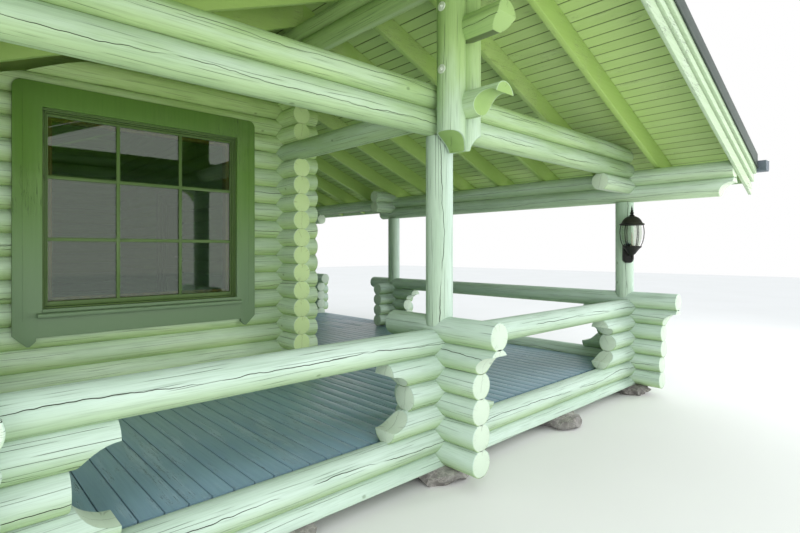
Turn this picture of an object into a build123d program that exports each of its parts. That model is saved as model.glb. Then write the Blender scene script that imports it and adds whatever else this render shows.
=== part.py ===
from math import atan, cos, degrees, floor, pi, radians, sin
from build123d import *
import os

os.makedirs("parts", exist_ok=True)

# Driving dimensions in millimetres
log_pitch = 145.0
log_diameter = 157.0
post_diameter = 164.0
room_width = 2205.0
room_length = 4825.0
front_porch_depth = 1855.0
side_porch_width = 2710.0
entry_start = 3380.0
entry_width = 2175.0
stone_height = 90.0
roof_slope = 0.4
end_overhang = 861.0
eave_overhang = 385.0
rafter_thickness = 50.0
rafter_height = 167.0
rafter_spaces = 14
soffit_board_thickness = 22.0
roof_cover_thickness = 40.0
deck_thickness = 28.0
bearer_thickness = 48.0
window_width = 1330.0
door_width = 850.0
door_thickness = 42.0
glass_thickness = 6.0

# Clearances in millimetres
notch_clearance = 0.3
scribe_clearance = 0.3

# Heights in log courses above the lowest log
deck_course = 1.4
window_low_course = 5.5
window_high_course = 15.5
rail_course = 5.0
door_low_course = 1.0
door_high_course = 14.0
post_foot_course = 6.0
eave_course = 12.0
tie_course = 13.5
ridge_pair_height = 1.946
plate_split_course = 15.0
railing_split_course = 5.5
rail_under_course = 4.5
log_end_hollow_course = 3.96

# Sizes that follow from the driving dimensions
log_radius = log_diameter / 2
post_radius = post_diameter / 2
x_wall = (room_width - side_porch_width) / 2
x_left = x_wall - room_width
x_side = x_wall + side_porch_width
y_front = -(front_porch_depth + room_length) / 2
y_wall = y_front + front_porch_depth
y_back = y_wall + room_length
y_entry = y_front + entry_start
y_entry_end = y_entry + entry_width
log_end = 2.2 * log_pitch
long_end = 3.05 * log_pitch
short_end = 2.0 * log_pitch
roof_cos = cos(atan(roof_slope))
whole_length = y_back - y_front + 2 * end_overhang
y_first_rafter = y_front - end_overhang
reach = side_porch_width + room_width


def course(number):
    """Height of a place counted in log courses above the lowest log."""
    return stone_height + number * log_pitch


ridge_under = course(14.05) + roof_slope * side_porch_width
rafter_rise = rafter_height / roof_cos
boards_rise = soffit_board_thickness / roof_cos
cover_rise = roof_cover_thickness / roof_cos
ridge_centre = ridge_under - 0.45 * log_pitch


def roof_under(x):
    """Height of the rafters' underside at a place across the building."""
    return ridge_under - roof_slope * abs(x - x_wall)


# Log courses that the roof's height decides: at the ridge, and at the left wall's plate
ridge_course = (ridge_under - stone_height) / log_pitch
ridge_seat_course = ridge_course - ridge_pair_height
gable_top_course = floor(ridge_course)
upper_wall_course = floor(ridge_seat_course - 0.25)
ridge_slot_course = upper_wall_course + 0.25
left_roof_course = (roof_under(x_left) - stone_height) / log_pitch
left_plate_course = floor(left_roof_course - 0.9) + 0.5
left_wall_course = left_plate_course - 0.5


def across(y):
    """Plane across the building, drawn with X and Z, that extrudes towards the back."""
    return Plane(origin=(0, y, 0), x_dir=(1, 0, 0), z_dir=(0, -1, 0))


def along(x):
    """Plane along the building, drawn with Y and Z, that extrudes to the right."""
    return Plane.YZ.offset(x)


def logs_along_x(x_from, x_to, y, levels, low=None, high=None):
    """Adds stacked logs along X to the open part, planed flat at the heights low and high."""
    with BuildSketch(along(x_from)) as section:
        with Locations(*[(y, course(level)) for level in levels]):
            Circle(log_radius)
        if low is not None:
            with Locations((y, course(low))):
                Rectangle(log_diameter, log_pitch, align=(Align.CENTER, Align.MAX), mode=Mode.SUBTRACT)
        if high is not None:
            with Locations((y, course(high))):
                Rectangle(log_diameter, log_pitch, align=(Align.CENTER, Align.MIN), mode=Mode.SUBTRACT)
    extrude(section.sketch, amount=x_to - x_from)


def logs_along_y(y_from, y_to, x, levels, low=None, high=None):
    """Adds stacked logs along Y to the open part, planed flat at the heights low and high."""
    with BuildSketch(across(y_from)) as section:
        with Locations(*[(x, course(level)) for level in levels]):
            Circle(log_radius)
        if low is not None:
            with Locations((x, course(low))):
                Rectangle(log_diameter, log_pitch, align=(Align.CENTER, Align.MAX), mode=Mode.SUBTRACT)
        if high is not None:
            with Locations((x, course(high))):
                Rectangle(log_diameter, log_pitch, align=(Align.CENTER, Align.MIN), mode=Mode.SUBTRACT)
    extrude(section.sketch, amount=y_from - y_to)


def notch_for_y_logs(x, y, levels):
    """Cuts the laps in logs along X where logs along Y pass at the given levels."""
    with Locations(*[(x, y, course(level)) for level in levels]):
        Box(log_diameter + 2 * notch_clearance, 2 * log_diameter, log_pitch / 2, mode=Mode.SUBTRACT)


def notch_for_x_logs(x, y, levels):
    """Cuts the laps in logs along Y where logs along X pass at the given levels."""
    with Locations(*[(x, y, course(level)) for level in levels]):
        Box(2 * log_diameter, log_diameter + 2 * notch_clearance, log_pitch / 2, mode=Mode.SUBTRACT)


def scallop_across(x, y, level, radius, length):
    """Cuts a round hollow whose axis runs along X."""
    with Locations((x, y, course(level))):
        Cylinder(radius, length, rotation=(0, 90, 0), mode=Mode.SUBTRACT)


def scallop_along(x, y, level, radius, length):
    """Cuts a round hollow whose axis runs along Y."""
    with Locations((x, y, course(level))):
        Cylinder(radius, length, rotation=(90, 0, 0), mode=Mode.SUBTRACT)


def space_above_roof(lift=0.0):
    """Cuts away everything over the rafters' underside, raised by lift."""
    top = ridge_under + lift + reach
    low = ridge_under + lift - roof_slope * reach
    with BuildSketch(across(y_front - 2 * end_overhang)) as space:
        with BuildLine():
            Polyline(
                (x_wall, ridge_under + lift),
                (x_wall + reach, low),
                (x_wall + reach, top),
                (x_wall - reach, top),
                (x_wall - reach, low),
                close=True,
            )
        make_face()
    extrude(space.sketch, amount=-(whole_length + 2 * end_overhang), mode=Mode.SUBTRACT)


def slab_on_slope(side, y_from, y_to, run, low, high, x_start=0.0):
    """Adds a sloping slab on one side of the ridge, between two heights over the rafters' underside."""
    x_end = x_wall + side * run
    x_begin = x_wall + side * x_start
    with BuildSketch(across(y_from)) as section:
        with BuildLine():
            Polyline(
                (x_begin, roof_under(x_begin) + low),
                (x_end, roof_under(x_end) + low),
                (x_end, roof_under(x_end) + high),
                (x_begin, roof_under(x_begin) + high),
                close=True,
            )
        make_face()
    extrude(section.sketch, amount=y_from - y_to)


def levels_between(low, high):
    """Whole-number steps from low up to high."""
    count = int(round(high - low)) + 1
    return [low + step for step in range(count)]


# How far each roof slope reaches from the ridge to its eave
right_run = side_porch_width + eave_overhang
left_run = room_width + eave_overhang

# Footing stones under the logs and bearers
stone_size = 2.6 * log_pitch
bearer_rows = 3
side_bearer_rows = 7
bearer_spacing = front_porch_depth / (bearer_rows + 0.4)
front_bearer_ys = [y_front + bearer_spacing * (row + 0.7) for row in range(bearer_rows)]
side_bearer_ys = [y_wall + room_length * (row + 0.5) / side_bearer_rows for row in range(side_bearer_rows)]
stone_points = [(x, y) for x in (x_left, x_wall, x_side) for y in (y_front, y_back)]
stone_points += [(x, y_wall) for x in (x_left, x_wall, x_left + room_width / 2)]
stone_points += [(x_side, y_entry), (x_side, y_entry_end), (x_side, (y_front + y_entry) / 2)]
stone_points += [(x_left, (y_wall + y_back) / 2), (x_wall, (y_wall + y_back) / 2)]
stone_points += [((x_left + x_wall) / 2, y_front), ((x_wall + x_side) / 2, y_front)]
stone_points += [((x_wall + x_side) / 2, y_back), ((x_left + x_wall) / 2, y_back)]
bearer_stone_size = 1.3 * log_pitch
bearer_stone_xs = [x_left + room_width * share for share in (0.25, 0.75)]
bearer_stone_xs += [x_wall + side_porch_width * share for share in (0.25, 0.75)]
bearer_stones = [(x, y) for x in bearer_stone_xs for y in front_bearer_ys + side_bearer_ys]
with BuildPart() as footing_stones:
    with BuildSketch():
        with Locations(*stone_points):
            Rectangle(stone_size, stone_size)
        with Locations(*bearer_stones):
            Rectangle(bearer_stone_size, bearer_stone_size)
    extrude(amount=stone_height, taper=8)

# Front wall: logs below, beside and above the window
window_left = x_left + (room_width - window_width) / 2
window_right = window_left + window_width
with BuildPart() as front_wall_lower:
    logs_along_x(x_left - log_end, x_wall + log_end, y_wall, levels_between(0, 5), 0, window_low_course)
    for x in (x_left, x_wall):
        notch_for_y_logs(x, y_wall, levels_between(0.5, 4.5) + [5.5])
with BuildPart() as front_wall_sides:
    side_levels = levels_between(6, 15)
    logs_along_x(x_left - log_end, window_left, y_wall, side_levels, window_low_course, window_high_course)
    logs_along_x(window_right, x_wall + log_end, y_wall, side_levels, window_low_course, window_high_course)
    notch_for_y_logs(x_left, y_wall, levels_between(5.5, 14.5))
    notch_for_y_logs(x_wall, y_wall, levels_between(5.5, 15.5))
    space_above_roof()

# Gable logs over the front and back walls, slotted for the ridge logs
ridge_slot_height = 4 * log_pitch
with BuildPart() as gable_walls:
    for y in (y_wall, y_back):
        gable_levels = levels_between(16, gable_top_course)
        logs_along_x(x_left - log_end, x_wall + log_end, y, gable_levels, window_high_course)
        notch_for_y_logs(x_wall, y, levels_between(15.5, upper_wall_course - 0.5))
        with Locations((x_wall, y, course(ridge_slot_course))):
            Box(
                log_diameter + 2 * notch_clearance,
                2 * log_diameter,
                ridge_slot_height,
                align=(Align.CENTER, Align.CENTER, Align.MIN),
                mode=Mode.SUBTRACT,
            )
    space_above_roof()

# Back wall: plain logs up to the tie course
with BuildPart() as back_wall:
    logs_along_x(x_left - log_end, x_wall + log_end, y_back, levels_between(0, 13), 0, tie_course)
    for x in (x_left, x_wall):
        notch_for_y_logs(x, y_back, levels_between(0.5, 13.5))

# Left wall up to its plate
with BuildPart() as left_wall:
    left_levels = levels_between(0.5, left_wall_course - 0.5)
    logs_along_y(y_wall - log_end, y_back + log_end, x_left, left_levels, 0, left_wall_course)
    for y in (y_wall, y_back):
        notch_for_x_logs(x_left, y, levels_between(0, left_wall_course))

# Right wall: the sill log, the logs either side of the door, and the logs over the plate
y_door = (y_entry + y_entry_end) / 2
with BuildPart() as right_wall_base:
    logs_along_y(y_wall - log_end, y_back + log_end, x_wall, [0.5], 0, door_low_course)
    for y in (y_wall, y_back):
        notch_for_x_logs(x_wall, y, [0, 1])
with BuildPart() as right_wall_sides:
    for y_from, y_to in (
        (y_wall - log_end, y_door - door_width / 2),
        (y_door + door_width / 2, y_back + log_end),
    ):
        logs_along_y(y_from, y_to, x_wall, levels_between(1.5, 13.5), door_low_course, door_high_course)
    for y in (y_wall, y_back):
        notch_for_x_logs(x_wall, y, levels_between(1, 14))
with BuildPart() as right_wall_upper:
    logs_along_y(
        y_wall - log_end,
        y_back + log_end,
        x_wall,
        levels_between(15.5, upper_wall_course + 0.5),
        plate_split_course,
        ridge_seat_course,
    )
    for y in (y_wall, y_back):
        notch_for_x_logs(x_wall, y, levels_between(15, upper_wall_course))

# Plates: the log over each side wall that runs out over the front porch
plate_front = y_front - 3.3 * log_pitch
plate_hollow_radius = 0.68 * log_pitch
plate_hollow_y = plate_front + 0.45 * log_pitch
plate_hollow_drop = 0.42
right_plate_course = door_high_course + 0.5
plank_width = 0.6 * log_pitch
plank_course = left_plate_course + 0.3
with BuildPart() as wall_plates:
    plate_back = y_back + log_end
    logs_along_y(plate_front, plate_back, x_wall, [right_plate_course], door_high_course, plate_split_course)
    logs_along_y(plate_front, plate_back, x_left, [left_plate_course], left_wall_course)
    with Locations((x_left, y_first_rafter, course(plank_course))):
        Box(plank_width, whole_length, log_pitch, align=(Align.CENTER, Align.MIN, Align.MIN))
    for y in (y_front, y_wall, y_back):
        notch_for_x_logs(x_wall, y, [14, 15])
        notch_for_x_logs(x_left, y, [left_wall_course, left_wall_course + 1, left_wall_course + 1.5])
    for x, level in ((x_left, left_plate_course), (x_wall, right_plate_course)):
        hollow_course = level - plate_hollow_drop
        scallop_across(x, plate_hollow_y, hollow_course, plate_hollow_radius, log_diameter)
    space_above_roof()

# Ridge: two stacked logs under the rafters
with BuildPart() as ridge_logs:
    ridge_level = (ridge_centre - stone_height) / log_pitch
    logs_along_y(
        y_first_rafter, y_back + end_overhang, x_wall, [ridge_level - 1, ridge_level], ridge_seat_course
    )
    space_above_roof()

# Tie beams across the front and back, two logs high
tie_left_end = x_left - log_end
tie_right_end = x_side - 0.4 * log_pitch
tie_end_radius = 1.3 * log_pitch


def tie_beam_shape(y, x_from, high):
    """Adds a tie beam from x_from to its rounded right end, planed at the height high if one is given."""
    logs_along_x(x_from, tie_right_end, y, [14, 15], tie_course, high)
    with BuildSketch(across(y - log_diameter)) as corner:
        with Locations((tie_right_end, course(15) + log_radius)):
            Rectangle(tie_end_radius, tie_end_radius, align=(Align.MAX, Align.MAX))
        with Locations((tie_right_end - tie_end_radius, course(15) + log_radius - tie_end_radius)):
            Circle(tie_end_radius, mode=Mode.SUBTRACT)
    extrude(corner.sketch, amount=-2 * log_diameter, mode=Mode.SUBTRACT)


with BuildPart() as tie_beams:
    tie_beam_shape(y_front, tie_left_end, None)
    tie_beam_shape(y_back, tie_left_end, window_high_course)
    for x in (x_left, x_wall):
        notch_for_y_logs(x, y_front, [14.5])
        notch_for_y_logs(x, y_back, [13.5, 14.5])
    notch_for_y_logs(x_wall, y_back, [15.5])
    for y in (y_front, y_back):
        notch_for_y_logs(x_side, y, [13.5])
    space_above_roof(rafter_rise)

# Eave beam on the side posts
beam_end = 6.1 * log_pitch
beam_hollow_radius = 0.75 * log_pitch
lower_log_front_end = y_entry + 1.6 * log_pitch
lower_log_back_end = y_entry_end - 2.3 * log_pitch
side_post_ys = [y_front, y_entry, y_entry_end, y_back]
with BuildPart() as eave_beam:
    logs_along_y(y_front - beam_end, y_back + beam_end, x_side, [13.5])
    logs_along_y(y_front - beam_end, lower_log_front_end, x_side, [12.5], eave_course)
    logs_along_y(lower_log_back_end, y_back + beam_end, x_side, [12.5], eave_course)
    for y in side_post_ys:
        notch_for_x_logs(x_side, y, [13, 14])
    for y in (y_front - beam_end, y_back + beam_end):
        scallop_across(x_side, y, eave_course, beam_hollow_radius, 2 * log_diameter)
    space_above_roof()

# Short corbel logs across the heads of the side posts
corbel_right = x_side + 1.6 * log_pitch
corbel_left = x_side - 2.6 * log_pitch
gable_corbel_left = x_side - 4.2 * log_pitch
corbel_under_course = 12.5
with BuildPart() as post_corbels:
    for y in (y_front, y_back):
        logs_along_x(gable_corbel_left, corbel_right, y, [13], corbel_under_course, tie_course)
    for y in (y_entry, y_entry_end):
        logs_along_x(corbel_left, corbel_right, y, [13, 14], corbel_under_course)
    for y in side_post_ys:
        notch_for_y_logs(x_side, y, [12.5, 13.5])
    space_above_roof()

# Posts standing on the railings
post_offset = 0.3 * log_pitch
post_seat_depth = 0.35


def railing_post(x, y, top):
    """Adds a post scribed over the top log of the railing."""
    foot = post_foot_course - post_seat_depth
    with Locations((x, y, course(foot))):
        Cylinder(
            post_radius,
            (top - foot) * log_pitch,
            align=(Align.CENTER, Align.CENTER, Align.MIN),
        )
    with Locations((x, y, course(post_foot_course - 0.5))):
        Cylinder(log_radius + scribe_clearance, 2 * post_diameter, rotation=(90, 0, 0), mode=Mode.SUBTRACT)


with BuildPart() as porch_posts:
    railing_post(x_left, y_front, min(tie_course, left_wall_course))
    railing_post(x_wall, y_front, tie_course)
    railing_post(x_side, y_front + post_offset, eave_course)
    for y in (y_entry, y_entry_end, y_back):
        railing_post(x_side, y, eave_course)

# Hanging pair of round timbers in the gable, with the short log through them
king_gap = 2.0
king_y = y_front - log_radius - post_radius - scribe_clearance
king_foot = 12.7
king_left_offset = 0.525 * log_pitch
king_right_offset = 0.445 * log_pitch
king_hollow_radius = 0.75 * log_pitch
king_hollow_y = king_y + 0.5 * log_pitch
king_xs = [x_wall - king_left_offset, x_wall + king_right_offset]
stub_front = y_front - 3.4 * log_pitch
stub_bevel = 0.7 * log_pitch
stub_course = upper_wall_course - 1.5
with BuildPart() as king_posts:
    for x, side in zip(king_xs, (-1, 1)):
        with Locations((x, king_y, course(king_foot))):
            Cylinder(
                post_radius,
                (ridge_seat_course - king_foot) * log_pitch,
                align=(Align.CENTER, Align.CENTER, Align.MIN),
            )
    with Locations((sum(king_xs) / 2, king_y, course(king_foot))):
        Box(
            king_gap,
            2 * post_diameter,
            (ridge_seat_course - king_foot) * log_pitch,
            align=(Align.CENTER, Align.CENTER, Align.MIN),
            mode=Mode.SUBTRACT,
        )
    scallop_across(x_wall, king_hollow_y, king_foot - 0.1, king_hollow_radius, 4 * log_diameter)
    for level in (14.5, stub_course):
        scallop_along(x_wall, king_y, level, log_radius + scribe_clearance, 2 * post_diameter)
with BuildPart() as gable_stub_log:
    logs_along_y(stub_front, king_y + post_radius, x_wall, [stub_course])
    with Locations(Location((x_wall, stub_front, course(stub_course - 0.5)), (45, 0, 0))):
        Box(log_diameter, stub_bevel, stub_bevel, mode=Mode.SUBTRACT)

# Railings: the top rails, and the low logs that close the porch floor
crib_right_end = 2.1 * log_pitch
with BuildPart() as top_rails_across:
    for x_from, y in ((x_left - log_end, y_front), (x_wall + log_end, y_back)):
        logs_along_x(x_from, x_side + crib_right_end, y, [5], rail_under_course, railing_split_course)
    for x in (x_left, x_wall, x_side):
        notch_for_y_logs(x, y_front, [4.5, 5.5])
    notch_for_y_logs(x_side, y_back, [4.5, 5.5])
with BuildPart() as top_rails_along:
    logs_along_y(y_front - long_end, y_entry + long_end, x_side, [5.5], 5.0)
    logs_along_y(y_entry_end - long_end, y_back + crib_right_end, x_side, [5.5], 5.0)
    logs_along_y(y_front - long_end, y_wall - log_end, x_left, [5.5], 5.0)
    for y in side_post_ys:
        notch_for_x_logs(x_side, y, [5])
    notch_for_x_logs(x_left, y_front, [5])
with BuildPart() as low_logs_across:
    logs_along_x(x_left - log_end, x_side + crib_right_end, y_front, [0, 1], 0, 1.5)
    logs_along_x(x_wall + log_end, x_side + crib_right_end, y_back, [0, 1], 0, 1.5)
    for x in (x_left, x_wall, x_side):
        notch_for_y_logs(x, y_front, [0.5, 1.5])
    notch_for_y_logs(x_side, y_back, [0.5, 1.5])
with BuildPart() as sill_logs_along:
    logs_along_y(y_front - crib_right_end, y_back + crib_right_end, x_side, [0.5], 0, 1.0)
    logs_along_y(y_front - log_end, y_wall - log_end, x_left, [0.5], 0, 1.0)
    for y in side_post_ys:
        notch_for_x_logs(x_side, y, [0, 1])
    notch_for_x_logs(x_left, y_front, [0, 1])
with BuildPart() as low_logs_along:
    logs_along_y(y_front - crib_right_end, y_entry + log_end, x_side, [1.5], 1.0, 2.0)
    logs_along_y(y_entry_end - log_end, y_back + crib_right_end, x_side, [1.5], 1.0, 2.0)
    logs_along_y(y_front - log_end, y_wall - log_end, x_left, [1.5], 1.0, 2.0)
    for y in side_post_ys:
        notch_for_x_logs(x_side, y, [1, 2])
    notch_for_x_logs(x_left, y_front, [1, 2])

# Short log ends stacked under the railings
bracket_radius = 1.05 * log_pitch
rail_end_radius = 0.82 * log_pitch
plain_ends = (log_end, log_end, log_end)
bracket_ends = (long_end, short_end, long_end)
wide_long_end = 4.2 * log_pitch
wide_short_end = 3.3 * log_pitch
wide_bracket_ends = (wide_long_end, wide_short_end, wide_long_end)
rail_stub_end = 2.8 * log_pitch
cut_length = 2 * log_diameter


def crib_across(x, y, lefts, rights, high=rail_under_course, levels=(2, 3, 4)):
    """Adds the stacked logs along X of one crib, hollowed under their long ends."""
    last = levels[-1]
    for level, left, right in zip(levels, lefts, rights):
        low = 1.5 if level == levels[0] else None
        top = high if level == last else None
        logs_along_x(x - left, x + right, y, [level], low, top)
    for side, ends in ((-1, lefts), (1, rights)):
        if ends[0] > ends[1]:
            scallop_along(x + side * ends[0], y, 3, bracket_radius, cut_length)
    notch_for_y_logs(x, y, [1.5, 2.5, 3.5, 4.5, 5.5])


with BuildPart() as crib_logs_across:
    crib_across(x_left, y_front, plain_ends, bracket_ends)
    crib_across(x_wall, y_front, bracket_ends, bracket_ends)
    crib_across(x_side, y_front, wide_bracket_ends, plain_ends)
    crib_across(x_side, y_back, wide_bracket_ends, plain_ends)
    for y in (y_entry, y_entry_end):
        logs_along_x(x_side - log_end, x_side + log_end, y, [2, 3, 4, 5], 1.5, 5.5)
        notch_for_y_logs(x_side, y, [1.5, 2.5, 3.5, 4.5, 5.5])


def crib_along(x, y, fronts, backs, low=2.0):
    """Adds the stacked logs along Y of one crib, hollowed under their long ends."""
    levels = (2.5, 3.5, 4.5)
    for level, front, back in zip(levels, fronts, backs):
        bottom = low if level == levels[0] else None
        top = 5.0 if level == levels[-1] else None
        logs_along_y(y - front, y + back, x, [level], bottom, top)
    for side, ends in ((-1, fronts), (1, backs)):
        if ends[0] > ends[1]:
            scallop_across(x, y + side * ends[0], 3.5, bracket_radius, cut_length)
        if ends[2] > ends[1] and ends[0] == ends[1]:
            scallop_across(x, y + side * ends[2], log_end_hollow_course, rail_end_radius, cut_length)


front_ends = (log_end, log_end, long_end)
with BuildPart() as crib_logs_along:
    crib_along(x_left, y_front, front_ends, bracket_ends)
    crib_along(x_side, y_front, front_ends, bracket_ends)
    crib_along(x_side, y_entry, bracket_ends, plain_ends)
    crib_along(x_side, y_entry_end, plain_ends, bracket_ends)
    crib_along(x_side, y_back, bracket_ends, plain_ends)
    logs_along_y(y_front - log_end, y_front + log_end, x_wall, [0.5, 1.5, 2.5, 3.5], 0)
    logs_along_y(y_front - long_end, y_front + log_end, x_wall, [4.5])
    logs_along_y(y_front - long_end, y_front + rail_stub_end, x_wall, [5.5])
    scallop_across(x_wall, y_front - long_end, log_end_hollow_course, rail_end_radius, cut_length)
    for x in (x_left, x_wall, x_side):
        notch_for_x_logs(x, y_front, [0, 1, 2, 3, 4, 5])
    for y in (y_entry, y_entry_end, y_back):
        notch_for_x_logs(x_side, y, [2, 3, 4, 5])

# Porch deck with its bearers, and the room floor
deck_clearance = 3.0
edge = log_radius + deck_clearance
cutout = log_diameter + 2 * deck_clearance
corner_reach = log_end + deck_clearance
entry_deck_reach = 0.6 * log_pitch
deck_top = course(deck_course)
deck_under = deck_top - deck_thickness
with BuildPart() as porch_deck:
    with BuildSketch(Plane.XY.offset(deck_under)):
        with Locations((x_left + edge, y_front + edge)):
            Rectangle(
                x_side - x_left - 2 * edge, y_wall - y_front - 2 * edge, align=(Align.MIN, Align.MIN)
            )
        with Locations((x_wall + edge, y_front + edge)):
            Rectangle(x_side - x_wall - 2 * edge, y_back - y_front - 2 * edge, align=(Align.MIN, Align.MIN))
        with Locations((x_side - edge, y_entry + corner_reach)):
            Rectangle(edge + entry_deck_reach, entry_width - 2 * corner_reach, align=(Align.MIN, Align.MIN))
        with Locations((x_wall, y_front)):
            Rectangle(cutout, corner_reach, align=(Align.CENTER, Align.MIN), mode=Mode.SUBTRACT)
        with Locations((x_wall, y_wall)):
            Rectangle(cutout, corner_reach, align=(Align.CENTER, Align.MAX), mode=Mode.SUBTRACT)
            Rectangle(corner_reach, cutout, align=(Align.MIN, Align.CENTER), mode=Mode.SUBTRACT)
        with Locations((x_left, y_wall)):
            Rectangle(cutout, corner_reach, align=(Align.CENTER, Align.MAX), mode=Mode.SUBTRACT)
    extrude(amount=deck_thickness)
with BuildPart() as room_floor:
    with BuildSketch(Plane.XY.offset(deck_under)):
        with Locations((x_left + edge, y_wall + edge)):
            Rectangle(room_width - 2 * edge, room_length - 2 * edge, align=(Align.MIN, Align.MIN))
    extrude(amount=deck_thickness)
with BuildPart() as floor_bearers:
    with BuildSketch(Plane.XY.offset(stone_height)):
        for y in front_bearer_ys:
            with Locations((x_left + edge, y)):
                Rectangle(x_side - x_left - 2 * edge, bearer_thickness, align=(Align.MIN, Align.CENTER))
        for y in side_bearer_ys:
            with Locations((x_left + edge, y)):
                Rectangle(room_width - 2 * edge, bearer_thickness, align=(Align.MIN, Align.CENTER))
            with Locations((x_wall + edge, y)):
                Rectangle(side_porch_width - 2 * edge, bearer_thickness, align=(Align.MIN, Align.CENTER))
    extrude(amount=deck_under - stone_height)

# Rafters on each slope
rafter_spacing = whole_length / rafter_spaces
rafter_ys = [y_first_rafter + rafter_spacing * step for step in range(rafter_spaces + 1)]
with BuildPart() as rafters_right:
    for y in rafter_ys:
        slab_on_slope(1, y - rafter_thickness / 2, y + rafter_thickness / 2, right_run, 0, rafter_rise)
with BuildPart() as rafters_left:
    for y in rafter_ys:
        slab_on_slope(-1, y - rafter_thickness / 2, y + rafter_thickness / 2, left_run, 0, rafter_rise)

# Soffit boarding and roof covering
fascia_thickness = 25.0
verge_thickness = 72.0
metal_lap = 6.0
ridge_gap = 0.5
y_verge = y_first_rafter - rafter_thickness / 2
y_verge_back = y_verge + whole_length + rafter_thickness
boards_top = rafter_rise + boards_rise
cover_top = boards_top + cover_rise
with BuildPart() as soffit_boards_right:
    slab_on_slope(1, y_verge, y_verge_back, right_run, rafter_rise, boards_top)
with BuildPart() as soffit_boards_left:
    slab_on_slope(-1, y_verge, y_verge_back, left_run, rafter_rise, boards_top)
with BuildPart() as roof_cover_right:
    slab_on_slope(1, y_verge, y_verge_back, right_run + fascia_thickness, boards_top, cover_top)
with BuildPart() as roof_cover_left:
    slab_on_slope(-1, y_verge, y_verge_back, left_run + fascia_thickness, boards_top, cover_top)

# Stepped verge boards at both gables, three boards and a metal edge
verge_steps = (
    (-0.72, -0.02, 26.0),
    (-0.02, 0.48, 44.0),
    (0.48, 0.95, 62.0),
)


def verge(y_inner, outward):
    """Adds the stepped boards of one gable, fused where they lap."""
    for low, high, thickness in verge_steps:
        y_low = min(y_inner, y_inner + outward * thickness)
        y_high = max(y_inner, y_inner + outward * thickness)
        for side, run in ((1, right_run + fascia_thickness), (-1, left_run + fascia_thickness)):
            slab_on_slope(side, y_low, y_high, run, low * log_pitch, high * log_pitch, ridge_gap)


def verge_metal(y_inner, outward):
    """Adds the metal edge over the verge boards of one gable."""
    y_low = min(y_inner, y_inner + outward * verge_thickness)
    y_high = max(y_inner, y_inner + outward * verge_thickness)
    for side, run in ((1, right_run + fascia_thickness), (-1, left_run + fascia_thickness)):
        low = verge_steps[-1][1] * log_pitch
        slab_on_slope(side, y_low, y_high, run, low, cover_top + metal_lap, ridge_gap)


with BuildPart() as verge_boards:
    verge(y_verge, -1)
    verge(y_verge_back, 1)
with BuildPart() as verge_metal_edges:
    verge_metal(y_verge, -1)
    verge_metal(y_verge_back, 1)

# Eave fascias and gutters
gutter_width = 116.0
gutter_height = 95.0
gutter_wall = 4.0
gutter_overrun = 60.0
with BuildPart() as eave_fascias:
    for x, side in ((x_wall + right_run, 1), (x_wall - left_run, -1)):
        top = roof_under(x) + boards_top - roof_slope * fascia_thickness
        with Locations((x + side * fascia_thickness / 2, y_verge, top)):
            Box(
                fascia_thickness,
                whole_length + rafter_thickness,
                rafter_rise + boards_rise,
                align=(Align.CENTER, Align.MIN, Align.MAX),
            )
with BuildPart() as gutters:
    for x, side in (
        (x_wall + right_run + fascia_thickness, 1),
        (x_wall - left_run - fascia_thickness, -1),
    ):
        top = roof_under(x) + boards_top - 2 * roof_slope * fascia_thickness
        length = whole_length + rafter_thickness + 2 * (verge_thickness + gutter_overrun)
        middle = (y_verge + y_verge_back) / 2
        with Locations((x + side * gutter_width / 2, middle, top)):
            Box(gutter_width, length, gutter_height, align=(Align.CENTER, Align.CENTER, Align.MAX))
            Box(
                gutter_width - 2 * gutter_wall,
                length - 2 * gutter_wall,
                gutter_height - gutter_wall,
                align=(Align.CENTER, Align.CENTER, Align.MAX),
                mode=Mode.SUBTRACT,
            )

# Window in the front wall
x_window = (window_left + window_right) / 2
window_low = course(window_low_course)
window_high = course(window_high_course)
glass_half_width = 4.16 * log_pitch
glass_low = course(6.51)
glass_high = course(14.65)
y_wall_face = y_wall - log_radius
casing_thickness = 26.0
casing_half_width = 5.46 * log_pitch
casing_low = course(4.65)
casing_high = course(16.0)
casing_cut = 0.5 * log_pitch
casing_round = 0.35 * log_pitch
casing_lap = 0.25 * log_pitch
casing_opening_low = course(6.1)
casing_opening_high = course(14.95)
sill_half_width = glass_half_width + 0.45 * log_pitch
sill_height = 0.22 * log_pitch
window_frame_depth = 0.8 * log_pitch
glass_setback = 0.31 * log_pitch
with BuildPart() as window_frame:
    with BuildSketch(across(y_wall_face)):
        with Locations((x_window, window_low)):
            Rectangle(window_width, window_high - window_low, align=(Align.CENTER, Align.MIN))
        with Locations((x_window, glass_low)):
            Rectangle(
                2 * glass_half_width,
                glass_high - glass_low,
                align=(Align.CENTER, Align.MIN),
                mode=Mode.SUBTRACT,
            )
    extrude(amount=-window_frame_depth)
with BuildPart() as window_glass:
    with BuildSketch(across(y_wall - glass_setback)):
        with Locations((x_window, glass_low)):
            Rectangle(2 * glass_half_width, glass_high - glass_low, align=(Align.CENTER, Align.MIN))
    extrude(amount=-glass_thickness)
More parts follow.
